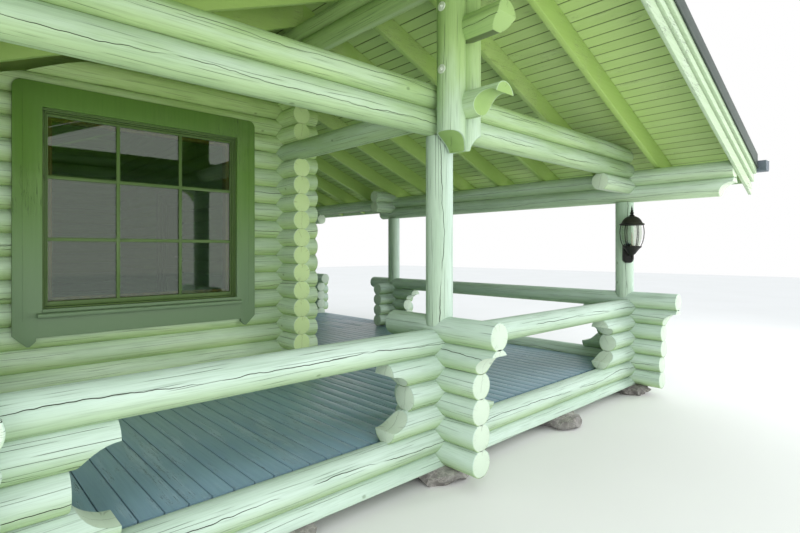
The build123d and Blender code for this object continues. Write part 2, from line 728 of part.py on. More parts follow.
with BuildPart() as window_casing:
    with BuildSketch(across(y_wall_face)) as casing_outline:
        with BuildLine():
            Polyline(
                (x_window - casing_half_width + casing_cut, casing_low),
                (x_window + casing_half_width - casing_cut, casing_low),
                (x_window + casing_half_width, casing_low + casing_cut),
                (x_window + casing_half_width, casing_high - casing_round),
            )
            RadiusArc(
                (x_window + casing_half_width, casing_high - casing_round),
                (x_window + casing_half_width - casing_round, casing_high),
                -casing_round,
            )
            Line(
                (x_window + casing_half_width - casing_round, casing_high),
                (x_window - casing_half_width + casing_round, casing_high),
            )
            RadiusArc(
                (x_window - casing_half_width + casing_round, casing_high),
                (x_window - casing_half_width, casing_high - casing_round),
                -casing_round,
            )
            Polyline(
                (x_window - casing_half_width, casing_high - casing_round),
                (x_window - casing_half_width, casing_low + casing_cut),
                (x_window - casing_half_width + casing_cut, casing_low),
            )
        make_face()
        with Locations((x_window, casing_opening_low)):
            Rectangle(
                2 * (glass_half_width + casing_lap),
                casing_opening_high - casing_opening_low,
                align=(Align.CENTER, Align.MIN),
                mode=Mode.SUBTRACT,
            )
    extrude(amount=casing_thickness)
    with Locations((x_window, y_wall_face, casing_opening_low)):
        Box(
            2 * sill_half_width,
            casing_thickness + casing_lap,
            sill_height,
            align=(Align.CENTER, Align.MAX, Align.MAX),
        )

# Door in the right wall, facing the side porch
door_jamb = 45.0
x_wall_face = x_wall + log_radius
door_low = course(door_low_course)
door_high = course(door_high_course)
threshold_height = 0.5 * log_pitch
door_setback = 0.35 * log_pitch
door_casing_width = 0.7 * log_pitch
door_casing_lap = 0.15 * log_pitch
with BuildPart() as door_frame:
    with BuildSketch(along(x_wall - log_radius)):
        with Locations((y_door, door_low)):
            Rectangle(door_width, door_high - door_low, align=(Align.CENTER, Align.MIN))
        with Locations((y_door, door_low + threshold_height)):
            Rectangle(
                door_width - 2 * door_jamb,
                door_high - door_low - threshold_height - door_jamb,
                align=(Align.CENTER, Align.MIN),
                mode=Mode.SUBTRACT,
            )
    extrude(amount=log_diameter)
with BuildPart() as room_door:
    with BuildSketch(along(x_wall_face - door_setback)):
        with Locations((y_door, door_low + threshold_height)):
            Rectangle(
                door_width - 2 * door_jamb,
                door_high - door_low - threshold_height - door_jamb,
                align=(Align.CENTER, Align.MIN),
            )
    extrude(amount=-door_thickness)
with BuildPart() as door_casing:
    with BuildSketch(along(x_wall_face)):
        with Locations((y_door, course(deck_course))):
            Rectangle(
                door_width + 2 * door_casing_width,
                door_high - course(deck_course) + door_casing_width,
                align=(Align.CENTER, Align.MIN),
            )
            Rectangle(
                door_width - 2 * door_jamb + 2 * door_casing_lap,
                door_high - course(deck_course) - door_jamb + door_casing_lap,
                align=(Align.CENTER, Align.MIN),
                mode=Mode.SUBTRACT,
            )
    extrude(amount=casing_thickness)

# Wall lantern on the front right post
lantern_reach = 1.36 * log_pitch
lantern_angle = 48.0
lantern_turn = radians(lantern_angle)
lantern_dir = (-sin(lantern_turn), -cos(lantern_turn), 0)
lantern_post_y = y_front + post_offset
lantern_x = x_side + lantern_reach * lantern_dir[0]
lantern_y = lantern_post_y + lantern_reach * lantern_dir[1]
lantern_foot = course(8.15)
lantern_height = 3.55 * log_pitch
cone_low = 0.35 * log_pitch
bowl_low = 0.9 * log_pitch
belly_low = 1.7 * log_pitch
belly_high = 1.8 * log_pitch
brim_low = 2.27 * log_pitch
spire_low = 2.85 * log_pitch
brim_radius = 108.0
brim_edge = 10.0
belly_radius = 107.0
bowl_top_radius = 98.0
bowl_foot_radius = 79.0
foot_ring_radius = 84.0
rib_depth = 7.0
rib_width = 8.0
rib_count = 6
glass_wall = 3.0
arm_height = 26.0
cone_tip_radius = 30.0
dome_shoulder_radius = 0.72 * brim_radius
dome_shoulder = 2.6 * log_pitch
spire_radius = 0.2 * brim_radius
plate_height = 190.0
plate_width = 96.0
plate_depth = 40.0
lantern_plane = Plane(origin=(lantern_x, lantern_y, lantern_foot), x_dir=(1, 0, 0), z_dir=(0, -1, 0))
lantern_axis = Axis((lantern_x, lantern_y, 0), (0, 0, 1))
pane_apothem = cos(pi / rib_count)


def bowl_solid(inset):
    """A six-sided bowl, widest at its belly, set in from the ribs' outline."""
    with BuildPart() as bowl:
        with BuildSketch(Plane(origin=(lantern_x, lantern_y, lantern_foot + bowl_low))):
            RegularPolygon(belly_radius - inset, rib_count, rotation=degrees(lantern_turn))
        extrude(amount=brim_low - bowl_low)
        top = bowl.faces().sort_by(Axis.Z)[-1]
        chamfer(
            top.edges(), (belly_radius - bowl_top_radius) * pane_apothem, brim_low - belly_high, reference=top
        )
        foot = bowl.faces().sort_by(Axis.Z)[0]
        foot_spread = (belly_radius - bowl_foot_radius) * pane_apothem
        chamfer(foot.edges(), foot_spread, belly_low - bowl_low, reference=foot)
    return bowl.part


bowl_outside = bowl_solid(rib_depth)
bowl_inside = bowl_solid(rib_depth + glass_wall)
with BuildPart() as lantern_glass:
    add(bowl_outside)
    add(bowl_inside, mode=Mode.SUBTRACT)
with BuildPart() as lantern_body:
    with BuildSketch(lantern_plane):
        with BuildLine():
            Polyline(
                (0, 0),
                (cone_tip_radius, cone_low),
                (foot_ring_radius, bowl_low - brim_edge),
                (foot_ring_radius, bowl_low),
                (0, bowl_low),
                close=True,
            )
        make_face()
        with BuildLine():
            Polyline(
                (0, brim_low),
                (brim_radius, brim_low),
                (brim_radius, brim_low + brim_edge),
                (dome_shoulder_radius, dome_shoulder),
                (spire_radius, spire_low),
                (0, lantern_height),
                close=True,
            )
        make_face()
    revolve(axis=lantern_axis)
    rib_profile = (
        (bowl_foot_radius, bowl_low),
        (belly_radius, belly_low),
        (belly_radius, belly_high),
        (bowl_top_radius, brim_low),
    )
    for rib in range(rib_count):
        turn = 2 * pi * rib / rib_count + lantern_turn
        rib_plane = Plane(
            origin=(lantern_x, lantern_y, lantern_foot),
            x_dir=(cos(turn), sin(turn), 0),
            z_dir=(sin(turn), -cos(turn), 0),
        )
        with BuildSketch(rib_plane):
            with BuildLine():
                Polyline(
                    *rib_profile,
                    *[(radius - rib_depth, height) for radius, height in reversed(rib_profile)],
                    close=True,
                )
            make_face()
        extrude(amount=rib_width / 2, both=True)
    arm_plane = Plane(
        origin=(lantern_x, lantern_y, lantern_foot + cone_low + arm_height / 2),
        x_dir=(lantern_dir[1], -lantern_dir[0], 0),
        z_dir=(-lantern_dir[0], -lantern_dir[1], 0),
    )
    with BuildSketch(arm_plane):
        Rectangle(arm_height, arm_height)
    extrude(amount=lantern_reach)
    with BuildSketch(arm_plane.offset(lantern_reach - post_radius - plate_depth / 2)):
        Rectangle(plate_width, plate_height)
    extrude(amount=plate_depth)
    with Locations((x_side, lantern_post_y, lantern_foot)):
        Cylinder(post_radius + scribe_clearance, 4 * plate_height, mode=Mode.SUBTRACT)

parts = {
    "footing_stones": footing_stones,
    "front_wall_lower": front_wall_lower,
    "front_wall_sides": front_wall_sides,
    "gable_walls": gable_walls,
    "back_wall": back_wall,
    "left_wall": left_wall,
    "right_wall_base": right_wall_base,
    "right_wall_sides": right_wall_sides,
    "right_wall_upper": right_wall_upper,
    "wall_plates": wall_plates,
    "ridge_logs": ridge_logs,
    "tie_beams": tie_beams,
    "eave_beam": eave_beam,
    "post_corbels": post_corbels,
    "porch_posts": porch_posts,
    "king_posts": king_posts,
    "gable_stub_log": gable_stub_log,
    "top_rails_across": top_rails_across,
    "top_rails_along": top_rails_along,
    "low_logs_across": low_logs_across,
    "sill_logs_along": sill_logs_along,
    "low_logs_along": low_logs_along,
    "crib_logs_across": crib_logs_across,
    "crib_logs_along": crib_logs_along,
    "porch_deck": porch_deck,
    "room_floor": room_floor,
    "floor_bearers": floor_bearers,
    "rafters_right": rafters_right,
    "rafters_left": rafters_left,
    "soffit_boards_right": soffit_boards_right,
    "soffit_boards_left": soffit_boards_left,
    "roof_cover_right": roof_cover_right,
    "roof_cover_left": roof_cover_left,
    "verge_boards": verge_boards,
    "verge_metal_edges": verge_metal_edges,
    "eave_fascias": eave_fascias,
    "gutters": gutters,
    "window_frame": window_frame,
    "window_glass": window_glass,
    "window_casing": window_casing,
    "door_frame": door_frame,
    "room_door": room_door,
    "door_casing": door_casing,
    "lantern_body": lantern_body,
    "lantern_glass": lantern_glass,
}
for name, builder in parts.items():
    builder.part.label = name
    export_step(builder.part, f"parts/{name}.step")
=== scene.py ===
from math import cos, pi, radians, sin

import bmesh
import bpy
from mathutils import Matrix, Vector


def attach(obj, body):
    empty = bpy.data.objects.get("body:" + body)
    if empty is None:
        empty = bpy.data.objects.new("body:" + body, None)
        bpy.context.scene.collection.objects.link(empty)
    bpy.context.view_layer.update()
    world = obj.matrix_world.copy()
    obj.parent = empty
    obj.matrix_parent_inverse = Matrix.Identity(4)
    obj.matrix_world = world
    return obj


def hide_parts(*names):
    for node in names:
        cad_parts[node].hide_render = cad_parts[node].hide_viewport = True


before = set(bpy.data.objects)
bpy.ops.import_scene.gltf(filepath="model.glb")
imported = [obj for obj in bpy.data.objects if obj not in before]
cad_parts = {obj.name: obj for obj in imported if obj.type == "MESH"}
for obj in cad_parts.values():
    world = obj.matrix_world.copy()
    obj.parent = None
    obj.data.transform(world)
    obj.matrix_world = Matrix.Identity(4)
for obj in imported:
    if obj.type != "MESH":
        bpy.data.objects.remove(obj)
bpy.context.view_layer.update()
bpy.ops.object.select_all(action="DESELECT")

# Sizes of the cabin in metres
log_pitch = 0.145
log_radius = 0.0785
post_radius = 0.082
stone_height = 0.090
x_left = -2.4575
x_wall = -0.2525
x_side = 2.4575
y_front = -3.340
y_wall = -1.485
y_entry = 0.040
y_entry_end = 2.215
y_back = 3.340
log_end = 2.2 * log_pitch
long_end = 3.05 * log_pitch
short_end = 2.0 * log_pitch
wide_long_end = 4.2 * log_pitch
wide_short_end = 3.3 * log_pitch
crib_right_end = 2.1 * log_pitch
beam_end = 6.1 * log_pitch
roof_slope = 0.4
ridge_under = 3.21125
rafter_rise = 0.17986
boards_rise = 0.02370
boards_top = rafter_rise + boards_rise
cover_top = boards_top + 0.04308
y_verge = -4.226
y_verge_back = 4.226
right_run = 3.095
left_run = 2.590
fascia_thickness = 0.025
casing_thickness = 0.026
window_width = 1.330
door_width = 0.850

# Heights in log courses above the lowest log
deck_course = 1.4
rail_course = 5
eave_course = 12.0
tie_course = 14
plate_course = 14.5
king_foot_course = 12.7
stub_course = 17.5
ridge_pair_course = 19.58


def course(number):
    """Height of a place counted in log courses above the lowest log."""
    return stone_height + number * log_pitch


def roof_under(x):
    """Height of the rafters' underside at a place across the cabin."""
    return ridge_under - roof_slope * abs(x - x_wall)


def levels_between(low, high):
    """Whole-number steps from low up to high."""
    return [low + step for step in range(int(round(high - low)) + 1)]


def spread(number):
    """A fixed scattered value from 0 to 1 for the piece with this number."""
    return (sin(number * 12.9898 + 4.1414) * 43758.5453) % 1.0


# Looks
class Value:
    """A socket of a material, on which plain arithmetic adds Math nodes."""

    def __init__(self, finish, socket):
        self.finish = finish
        self.socket = socket

    def maths(self, operation, *others):
        """One Math node on the value."""
        return self.finish.node(
            "ShaderNodeMath", {"operation": operation}, dict(enumerate((self,) + others))
        )

    def __add__(self, other):
        return self.maths("ADD", other)

    def __mul__(self, other):
        return self.maths("MULTIPLY", other)

    def __sub__(self, other):
        return self.maths("SUBTRACT", other)

    def __truediv__(self, other):
        return self.maths("DIVIDE", other)

    def __rsub__(self, other):
        return self.finish.node("ShaderNodeMath", {"operation": "SUBTRACT"}, {0: other, 1: self})

    __radd__ = __add__

    def __abs__(self):
        return self.maths("ABSOLUTE")

    def steps(self, low, high, start=0.0, end=1.0):
        """Runs smoothly from start to end as the value goes from low to high."""
        return self.finish.node(
            "ShaderNodeMapRange",
            {"interpolation_type": "SMOOTHSTEP"},
            {"Value": self, "From Min": low, "From Max": high, "To Min": start, "To Max": end},
        )


class Finish:
    """The nodes of one material, or of the world when that is the owner."""

    def __init__(self, name, owner=None):
        self.material = owner or bpy.data.materials.new(name)
        self.material.use_nodes = True
        self.tree = self.material.node_tree
        self.tree.nodes.clear()

    def node(self, kind, settings=None, inputs=None, output=0):
        """Makes one node with its settings and the values or links of its sockets."""
        made = self.tree.nodes.new(kind)
        for name, setting in (settings or {}).items():
            setattr(made, name, setting)
        for name, given in (inputs or {}).items():
            if isinstance(given, Value):
                self.tree.links.new(given.socket, made.inputs[name])
            else:
                made.inputs[name].default_value = given
        return Value(self, made.outputs[output]) if made.outputs else None

    def attribute(self, name, output="Fac"):
        """What mark wrote on the piece under this name."""
        return self.node("ShaderNodeAttribute", {"attribute_name": name}, output=output)

    def parts(self, vector):
        """The three numbers of a vector."""
        split = self.node("ShaderNodeSeparateXYZ", inputs={0: vector})
        return [Value(self, socket) for socket in split.socket.node.outputs]

    def joined(self, x, y, z):
        """A vector of three numbers."""
        return self.node("ShaderNodeCombineXYZ", inputs={0: x, 1: y, 2: z})

    def noise(self, vector, scale, detail=2.0, roughness=0.5):
        """Noise in space."""
        return self.node(
            "ShaderNodeTexNoise",
            inputs={"Vector": vector, "Scale": scale, "Detail": detail, "Roughness": roughness},
        )

    def noise_line(self, place, detail=2.0):
        """Noise along a line."""
        return self.node(
            "ShaderNodeTexNoise", {"noise_dimensions": "1D"}, {"W": place, "Scale": 1.0, "Detail": detail}
        )

    def blend(self, amount, first, second, mode="MIX"):
        """Mixes two colours."""
        return self.node(
            "ShaderNodeMix",
            {"data_type": "RGBA", "blend_type": mode},
            {0: amount, 6: first, 7: second},
            output=2,
        )

    def shaded(self, colour, roughness, height=None, metallic=None, coat=None):
        """Ends the material in one Principled surface."""
        inputs = {"Base Color": colour, "Roughness": roughness}
        if metallic is not None:
            inputs["Metallic"] = metallic
        if coat is not None:
            inputs["Coat Weight"] = coat
        if height is not None:
            inputs["Normal"] = self.node(
                "ShaderNodeBump", inputs={"Strength": 1.0, "Distance": 1.0, "Height": height}
            )
        surface = self.node("ShaderNodeBsdfPrincipled", inputs=inputs)
        self.node("ShaderNodeOutputMaterial", inputs={"Surface": surface})
        return self.material


def paint(red, green, blue):
    """A colour of the paint shop's 0 to 255 scale as the shader wants it."""
    linear = []
    for part in (red, green, blue):
        share = part / 255.0
        linear.append(share / 12.92 if share <= 0.04045 else ((share + 0.055) / 1.055) ** 2.4)
    return (*linear, 1.0)


def log_paint(name, open_paint, upper_tint_and_underside_shade_paint, end_paint, split_width=0.0012):
    """Painted round timber with drying splits, grain and knots, laid along each log."""
    split_paint = paint(40, 42, 28)
    seam_shade_and_grime_paint = paint(52, 60, 34)
    finish = Finish(name)
    along, side, up = finish.parts(finish.attribute("place", "Vector"))
    seed = finish.attribute("seed")
    turn = finish.attribute("turn")
    lean = finish.attribute("lean")
    radius = (side * side + up * up).maths("SQRT")
    angle = side.maths("ARCTAN2", up)
    skin = radius.steps(0.90 * log_radius, 0.97 * log_radius)

    # The main split wanders along the log, with small steps
    bend = (finish.noise_line(along * 1.1 + seed * 57.0, 1.0) - 0.5) * 0.9
    jog = (finish.noise_line(along * 11.0 + seed * 91.0, 2.0) - 0.5) * 0.16
    off_split = abs((angle - turn - bend - jog).maths("WRAP", pi, -pi)) * log_radius
    opening = finish.noise_line(along * 2.3 + seed * 33.0, 2.0).steps(0.30, 0.62) * split_width
    split = (off_split - opening).steps(0.0, 0.0010, 1.0, 0.0) * opening.steps(0.0, 0.3 * split_width)

    # Hairline checks run nearly straight, one to a lane around the log
    lane_count = 38.0
    sway = finish.noise(finish.joined(side * 9.0, up * 9.0 + seed * 5.0, along * 0.9), 1.0, 2.0)
    lane_place = angle * log_radius * lane_count + sway * 2.4 + seed * 9.0
    lane = lane_place.maths("FLOOR")
    shift = ((lane * 0.377 + seed * 3.1).maths("FRACT") - 0.5) * 0.6
    off_check = abs(lane_place.maths("FRACT") - 0.5 - shift) / lane_count
    length = finish.noise_line(along * 1.6 + lane * 17.3 + seed * 71.0, 2.0).steps(0.47, 0.60)
    check = off_check.steps(0.0002, 0.0012, 1.0, 0.0) * length

    # Knots sit in rows along the log
    arc = angle * log_radius
    knots_round = 5.0
    knot_place = finish.joined(arc * knots_round + seed * 11.0, along * 2.1 + seed * 23.0, 0.0)
    cell = {"Vector": knot_place, "Scale": 1.0}
    centre = finish.node("ShaderNodeTexVoronoi", {"voronoi_dimensions": "2D"}, cell, "Position")
    chance = finish.node("ShaderNodeTexVoronoi", {"voronoi_dimensions": "2D"}, cell, "Color")
    knot_x, knot_y, _ = finish.parts(centre)
    place_x, place_y, _ = finish.parts(knot_place)
    across_knot = (place_x - knot_x) / knots_round
    down_knot = (place_y - knot_y) / 3.2
    knot_reach = (across_knot * across_knot + down_knot * down_knot).maths("SQRT")
    chance_part = finish.parts(chance)[0]
    knot = knot_reach.steps(0.004, 0.012, 1.0, 0.0) * chance_part.steps(0.80, 0.81)

    # Sawn ends show faint rings, rays and often one split through the heart
    heart_side = side / (radius + 0.0001)
    heart_up = up / (radius + 0.0001)
    star = finish.noise(finish.joined(heart_side * 1.6 + seed * 3.0, heart_up * 1.6, seed * 19.0), 1.0, 2.0)
    ray = abs(star - 0.5).steps(0.001, 0.006, 1.0, 0.0) * radius.steps(0.03, 0.06) * 0.5
    tilt = (seed * 7.3).maths("FRACT") * 1.3 - 0.65
    end_angle = (angle + tilt + finish.noise_line(radius * 45.0 + seed * 9.0) * 0.7 - 0.35).maths("SINE")
    reach = (up * 30.0 + (seed * 3.7).maths("FRACT") * 5.0 - 2.5).steps(-0.2, 0.2)
    heart_split = abs(end_angle * radius).steps(0.0003, 0.0014, 1.0, 0.0) * reach
    rings = (radius * 1500.0 + finish.noise(finish.joined(side, up, seed), 30.0) * 6.0).maths("SINE")
    end_cut = (ray.maths("MAXIMUM", heart_split)) * (1.0 - skin)

    # The colour turns greener higher up towards the roof, the undersides get painted shade, darker and
    # greener, and the paint wears along the grain
    fine = finish.noise(finish.joined(side * 220.0, up * 220.0 + seed, along * 7.0), 1.0, 3.0, 0.6)
    broad = finish.noise(finish.joined(side * 7.0 + seed * 17.0, up * 7.0, along * 1.6), 1.0, 3.0)
    strand_place = finish.joined(side * 60.0 + seed * 13.0, up * 60.0, along * 0.9 + seed * 7.0)
    strands = finish.noise(strand_place, 1.0, 3.0, 0.55)
    _, _, height = finish.parts(finish.node("ShaderNodeTexCoord", output="Object"))
    near_roof_tint = (height + (broad - 0.5) * 0.9).steps(1.80, 2.65)
    underside_shade = (up + (broad - 0.5) * 0.03).steps(-0.072, 0.030, 0.85, 0.0) * lean
    coat = finish.blend(near_roof_tint.maths("MAXIMUM", underside_shade), open_paint, upper_tint_and_underside_shade_paint)
    coat = finish.blend(broad.steps(0.36, 0.68) * 0.45, coat, paint(216, 226, 214), "MULTIPLY")
    coat = finish.blend(fine.steps(0.42, 0.75) * 0.20, coat, paint(130, 146, 122), "MULTIPLY")
    coat = finish.blend(strands.steps(0.54, 0.72) * 0.26, coat, paint(150, 165, 142), "MULTIPLY")
    coat = finish.blend(knot * 0.5, coat, paint(120, 130, 92), "MULTIPLY")
    wood_end = finish.blend(near_roof_tint * 0.5, end_paint, upper_tint_and_underside_shade_paint)
    wood_end = finish.blend(rings.steps(-1.0, 1.0) * 0.10, wood_end, paint(150, 168, 134))
    coat = finish.blend(1.0 - skin, coat, wood_end)

    # Painted shade: a dark seam where a log lies on the one below
    contact_shade = up.steps(-0.0735, -0.0705, 1.0, 0.0) * lean.steps(0.85, 0.95) * skin
    coat = finish.blend(contact_shade * 0.75, coat, seam_shade_and_grime_paint)
    dark = split.maths("MAXIMUM", check * 0.8) * skin
    coat = finish.blend(dark.maths("MAXIMUM", end_cut * 0.55), coat, split_paint)
    depth = dark * -0.0028 + end_cut * -0.0014
    depth = depth + fine * 0.00018 + knot * 0.0005 + rings * 0.00004 * (1.0 - skin)
    shine = 0.50 + fine * 0.16 + dark * 0.3
    return finish.shaded(coat, shine, depth)


def board_paint(
    name, open_paint, worn_paint, dark_paint, gloss, wear=0.5, fibre=1.0, seam_at=None, low_paint=None
):
    """Painted or stained boards whose grain runs along each board, shaded where they meet."""
    gap_paint = paint(26, 26, 24)
    seam_shade_and_grime_paint = paint(44, 58, 24)
    finish = Finish(name)
    along, across, up = finish.parts(finish.attribute("place", "Vector"))
    seed = finish.attribute("seed")
    streak_place = finish.joined(across * 60.0 + seed * 31.0, along * 2.2, up * 60.0)
    streaks = finish.noise(streak_place, 1.0, 3.0, 0.6)
    fibres = finish.noise(finish.joined(across * 420.0, along * 9.0 + seed * 5.0, up * 420.0), 1.0, 2.0)
    patch = finish.noise(finish.joined(across * 7.0 + seed * 3.0, along * 1.7, up), 1.0, 4.0, 0.6)
    line = abs(streaks - 0.5).steps(0.003, 0.011, 1.0, 0.0) * patch.steps(0.52, 0.60)
    tone = seed.maths("FRACT")
    coat = finish.blend(tone * 0.35, open_paint, dark_paint)
    coat = finish.blend(patch.steps(0.50, 0.72) * wear, coat, worn_paint)
    coat = finish.blend(streaks.steps(0.40, 0.75) * 0.30 * fibre, coat, dark_paint)
    coat = finish.blend(line * 0.7 * fibre, coat, gap_paint)
    # Painted light: the colour turns lighter and greyer towards the bottom, away from the roof's shade
    if low_paint:
        _, _, height_up = finish.parts(finish.node("ShaderNodeTexCoord", output="Object"))
        coat = finish.blend(height_up.steps(0.95, 1.90, 0.85, 0.0), coat, low_paint)
    # Painted shade with grime: the grooves at the board edges are darkened
    if seam_at:
        seam = abs(across).steps(seam_at - 0.0030, seam_at - 0.0010)
        coat = finish.blend(seam * 0.68, coat, seam_shade_and_grime_paint)
    height = fibres * 0.00018 * fibre + streaks * 0.0003 * fibre - line * 0.0010
    shine = gloss + streaks * 0.18 + patch * 0.12 - 0.12
    return finish.shaded(coat, shine, height)


def varnished_wood(name, light, dark, gloss):
    """Clear-varnished pine with long growth rings."""
    finish = Finish(name)
    along, across, up = finish.parts(finish.attribute("place", "Vector"))
    seed = finish.attribute("seed")
    drift = finish.noise(finish.joined(across * 14.0, along * 1.6 + seed * 9.0, up * 14.0), 1.0, 2.0)
    rings = (across * 330.0 + up * 90.0 + drift * 22.0 + seed * 40.0).maths("SINE")
    fibres = finish.noise(finish.joined(across * 500.0, along * 14.0, up * 500.0), 1.0, 2.0)
    colour = finish.blend(rings.steps(-1.0, 1.0) * 0.6, light, dark)
    colour = finish.blend(fibres.steps(0.5, 0.8) * 0.25, colour, dark)
    return finish.shaded(colour, gloss + fibres * 0.12, rings * 0.00008 + fibres * 0.0001, coat=0.4)


def coated_metal(name, colour, worn, gloss, speckle=900.0, depth=0.00012, metallic=0.0):
    """Painted sheet metal with a fine texture and worn patches and streaks."""
    finish = Finish(name)
    place = finish.node("ShaderNodeTexCoord", output="Object")
    grit = finish.noise(place, speckle, 2.0)
    cloud = finish.noise(place, 5.0, 4.0, 0.6)
    streak = finish.noise(place, 38.0, 3.0)
    coat = finish.blend(cloud.steps(0.42, 0.70) * 0.45, colour, worn)
    coat = finish.blend(streak.steps(0.60, 0.78) * 0.18, coat, worn)
    return finish.shaded(coat, gloss + cloud * 0.2 + grit * 0.1, grit * depth, metallic=metallic)


def rough_stone(name):
    """Grey field stone with speckles, veins and lighter and darker grey patches."""
    finish = Finish(name)
    place = finish.node("ShaderNodeTexCoord", output="Object")
    cloud = finish.noise(place, 4.0, 5.0, 0.65)
    speck = finish.noise(place, 160.0, 3.0, 0.7)
    vein = abs(finish.noise(place, 9.0, 4.0, 0.6) - 0.5).steps(0.0, 0.03, 1.0, 0.0)
    colour = finish.blend(cloud.steps(0.35, 0.68), paint(104, 100, 96), paint(158, 156, 152))
    colour = finish.blend(speck.steps(0.55, 0.75) * 0.5, colour, paint(58, 54, 50))
    colour = finish.blend(vein * 0.35, colour, paint(186, 182, 174))
    return finish.shaded(colour, 0.82 + speck * 0.1, speck * 0.0012 + cloud * 0.006)


def window_pane(name, tint, mirror):
    """Clear glass that mirrors what lies before it and lets the dark room show faintly."""
    finish = Finish(name)
    place = finish.node("ShaderNodeTexCoord", output="Object")
    wave = finish.noise(place, 2.4, 1.0)
    ripple = finish.node("ShaderNodeBump", inputs={"Strength": 1.0, "Distance": 1.0, "Height": wave * 0.0006})
    gloss = finish.node(
        "ShaderNodeBsdfGlossy", inputs={"Color": (0.9, 0.93, 0.9, 1.0), "Roughness": 0.02, "Normal": ripple}
    )
    clear = finish.node("ShaderNodeBsdfTransparent", inputs={"Color": tint})
    share = finish.node("ShaderNodeFresnel", inputs={"IOR": 1.5}) * mirror
    mixed = finish.node("ShaderNodeMixShader", inputs={0: share, 1: clear, 2: gloss})
    finish.node("ShaderNodeOutputMaterial", inputs={"Surface": mixed})
    return finish.material


# Finishes of the cabin
fine_split = 0.0007
log_finish = log_paint(
    "pale_green_log_paint", paint(192, 211, 198), paint(160, 188, 128), paint(194, 210, 190)
)
# Its end colour is painted shade: the sawn ends and end hollows are darker and greener than the body
plate_finish = log_paint(
    "green_plate_paint", paint(184, 205, 184), paint(164, 192, 122), paint(136, 168, 92), fine_split
)
wall_finish = log_paint(
    "sheltered_wall_paint", paint(200, 220, 190), paint(190, 216, 138), paint(196, 218, 154)
)
# Its end colour is painted shade: the sawn ends are darker and greener than on the plain logs
beam_finish = log_paint(
    "green_beam_paint", paint(184, 205, 184), paint(164, 192, 122), paint(180, 200, 156), fine_split
)
# Painted light: a lighter copy of the beam paint, ends too, for the more brightly lit eave beam and corbels
eave_finish = log_paint(
    "eave_beam_paint_with_painted_light", paint(204, 222, 204), paint(182, 206, 156), paint(204, 218, 194), fine_split
)
rafter_finish = board_paint(
    "yellow_green_rafter_paint",
    paint(176, 205, 116), paint(198, 218, 152), paint(152, 182, 92),
    gloss=0.5, wear=0.4, fibre=0.5,
)
soffit_finish = board_paint(
    "green_soffit_paint",
    paint(186, 210, 136), paint(198, 218, 156), paint(164, 190, 110),
    gloss=0.5, wear=0.4, fibre=0.5, seam_at=0.0425,
)
verge_finish = board_paint(
    "pale_green_verge_paint",
    paint(188, 208, 176), paint(204, 218, 198), paint(148, 172, 124),
    gloss=0.5, wear=0.4,
)
deck_finish = board_paint(
    "blue_grey_deck_paint",
    paint(132, 162, 178), paint(164, 186, 196), paint(106, 132, 148),
    gloss=0.36, wear=0.6,
)
floor_finish = board_paint(
    "clear_pine_floor",
    paint(178, 140, 92), paint(196, 160, 112), paint(148, 108, 64),
    gloss=0.40, wear=0.4,
)
bearer_finish = board_paint(
    "weathered_bearer_wood",
    paint(120, 110, 92), paint(150, 140, 120), paint(84, 76, 62),
    gloss=0.75, wear=0.6,
)
# The lower casing gets painted light, lighter and greyer towards the bottom
trim_finish = board_paint(
    "olive_trim_paint",
    paint(96, 132, 56), paint(122, 150, 90), paint(72, 104, 38),
    gloss=0.40, wear=0.35, fibre=0.7, low_paint=paint(116, 138, 108),
)
window_finish = board_paint(
    "dark_olive_window_paint",
    paint(92, 118, 62), paint(118, 142, 92), paint(66, 90, 42),
    gloss=0.36, wear=0.35, fibre=0.7,
)
door_finish = board_paint(
    "olive_door_paint",
    paint(88, 116, 64), paint(112, 136, 90), paint(64, 90, 44),
    gloss=0.40, wear=0.35, fibre=0.7,
)
varnish_finish = varnished_wood("orange_varnish", paint(196, 122, 46), paint(146, 78, 22), 0.28)
roof_finish = coated_metal("dark_green_roof_metal", paint(58, 72, 60), paint(82, 96, 82), 0.38)
edge_finish = coated_metal("grey_green_edge_metal", paint(66, 76, 70), paint(92, 102, 94), 0.40)
gutter_finish = coated_metal("grey_gutter_metal", paint(86, 96, 104), paint(116, 126, 132), 0.36)
lantern_finish = coated_metal(
    "bronze_black_lantern_metal", paint(42, 42, 40), paint(80, 76, 68), 0.42, 420.0, 0.0004, 0.6
)
bolt_finish = coated_metal(
    "painted_bolt_metal", paint(212, 220, 204), paint(150, 160, 136), 0.40, 600.0, 0.0001, 0.2
)
handle_finish = coated_metal(
    "brushed_handle_metal", paint(168, 164, 152), paint(130, 124, 110), 0.28, 500.0, 0.00008, 0.9
)
candle_finish = coated_metal("candle_tube_enamel", paint(196, 188, 166), paint(170, 160, 134), 0.45)
stone_finish = rough_stone("grey_field_stone")
glass_finish = window_pane("window_glass_clear", (0.60, 0.72, 0.56, 1.0), 2.4)
lantern_glass_finish = window_pane("lantern_glass_clear", (0.93, 0.95, 0.92, 1.0), 1.1)


# Modelling helpers
flat_turn = {0: (0, pi / 2, 0), 1: (pi / 2, 0, 0), 2: (0, 0, 0)}
made_count = 0


def take(*pieces):
    """Selects the pieces alone, the last one active."""
    bpy.ops.object.select_all(action="DESELECT")
    for piece in pieces:
        piece.select_set(True)
    bpy.context.view_layer.objects.active = pieces[-1]


def seat(piece):
    """Puts the piece's place, turn and size into its mesh."""
    take(piece)
    bpy.ops.object.transform_apply(location=True, rotation=True, scale=True)
    return piece


def block(low, high):
    """A plain block between two corners, as the start of a piece."""
    low, high = Vector(low), Vector(high)
    bpy.ops.mesh.primitive_cube_add(size=1.0, location=(low + high) / 2)
    piece = bpy.context.object
    piece.scale = high - low
    return seat(piece)


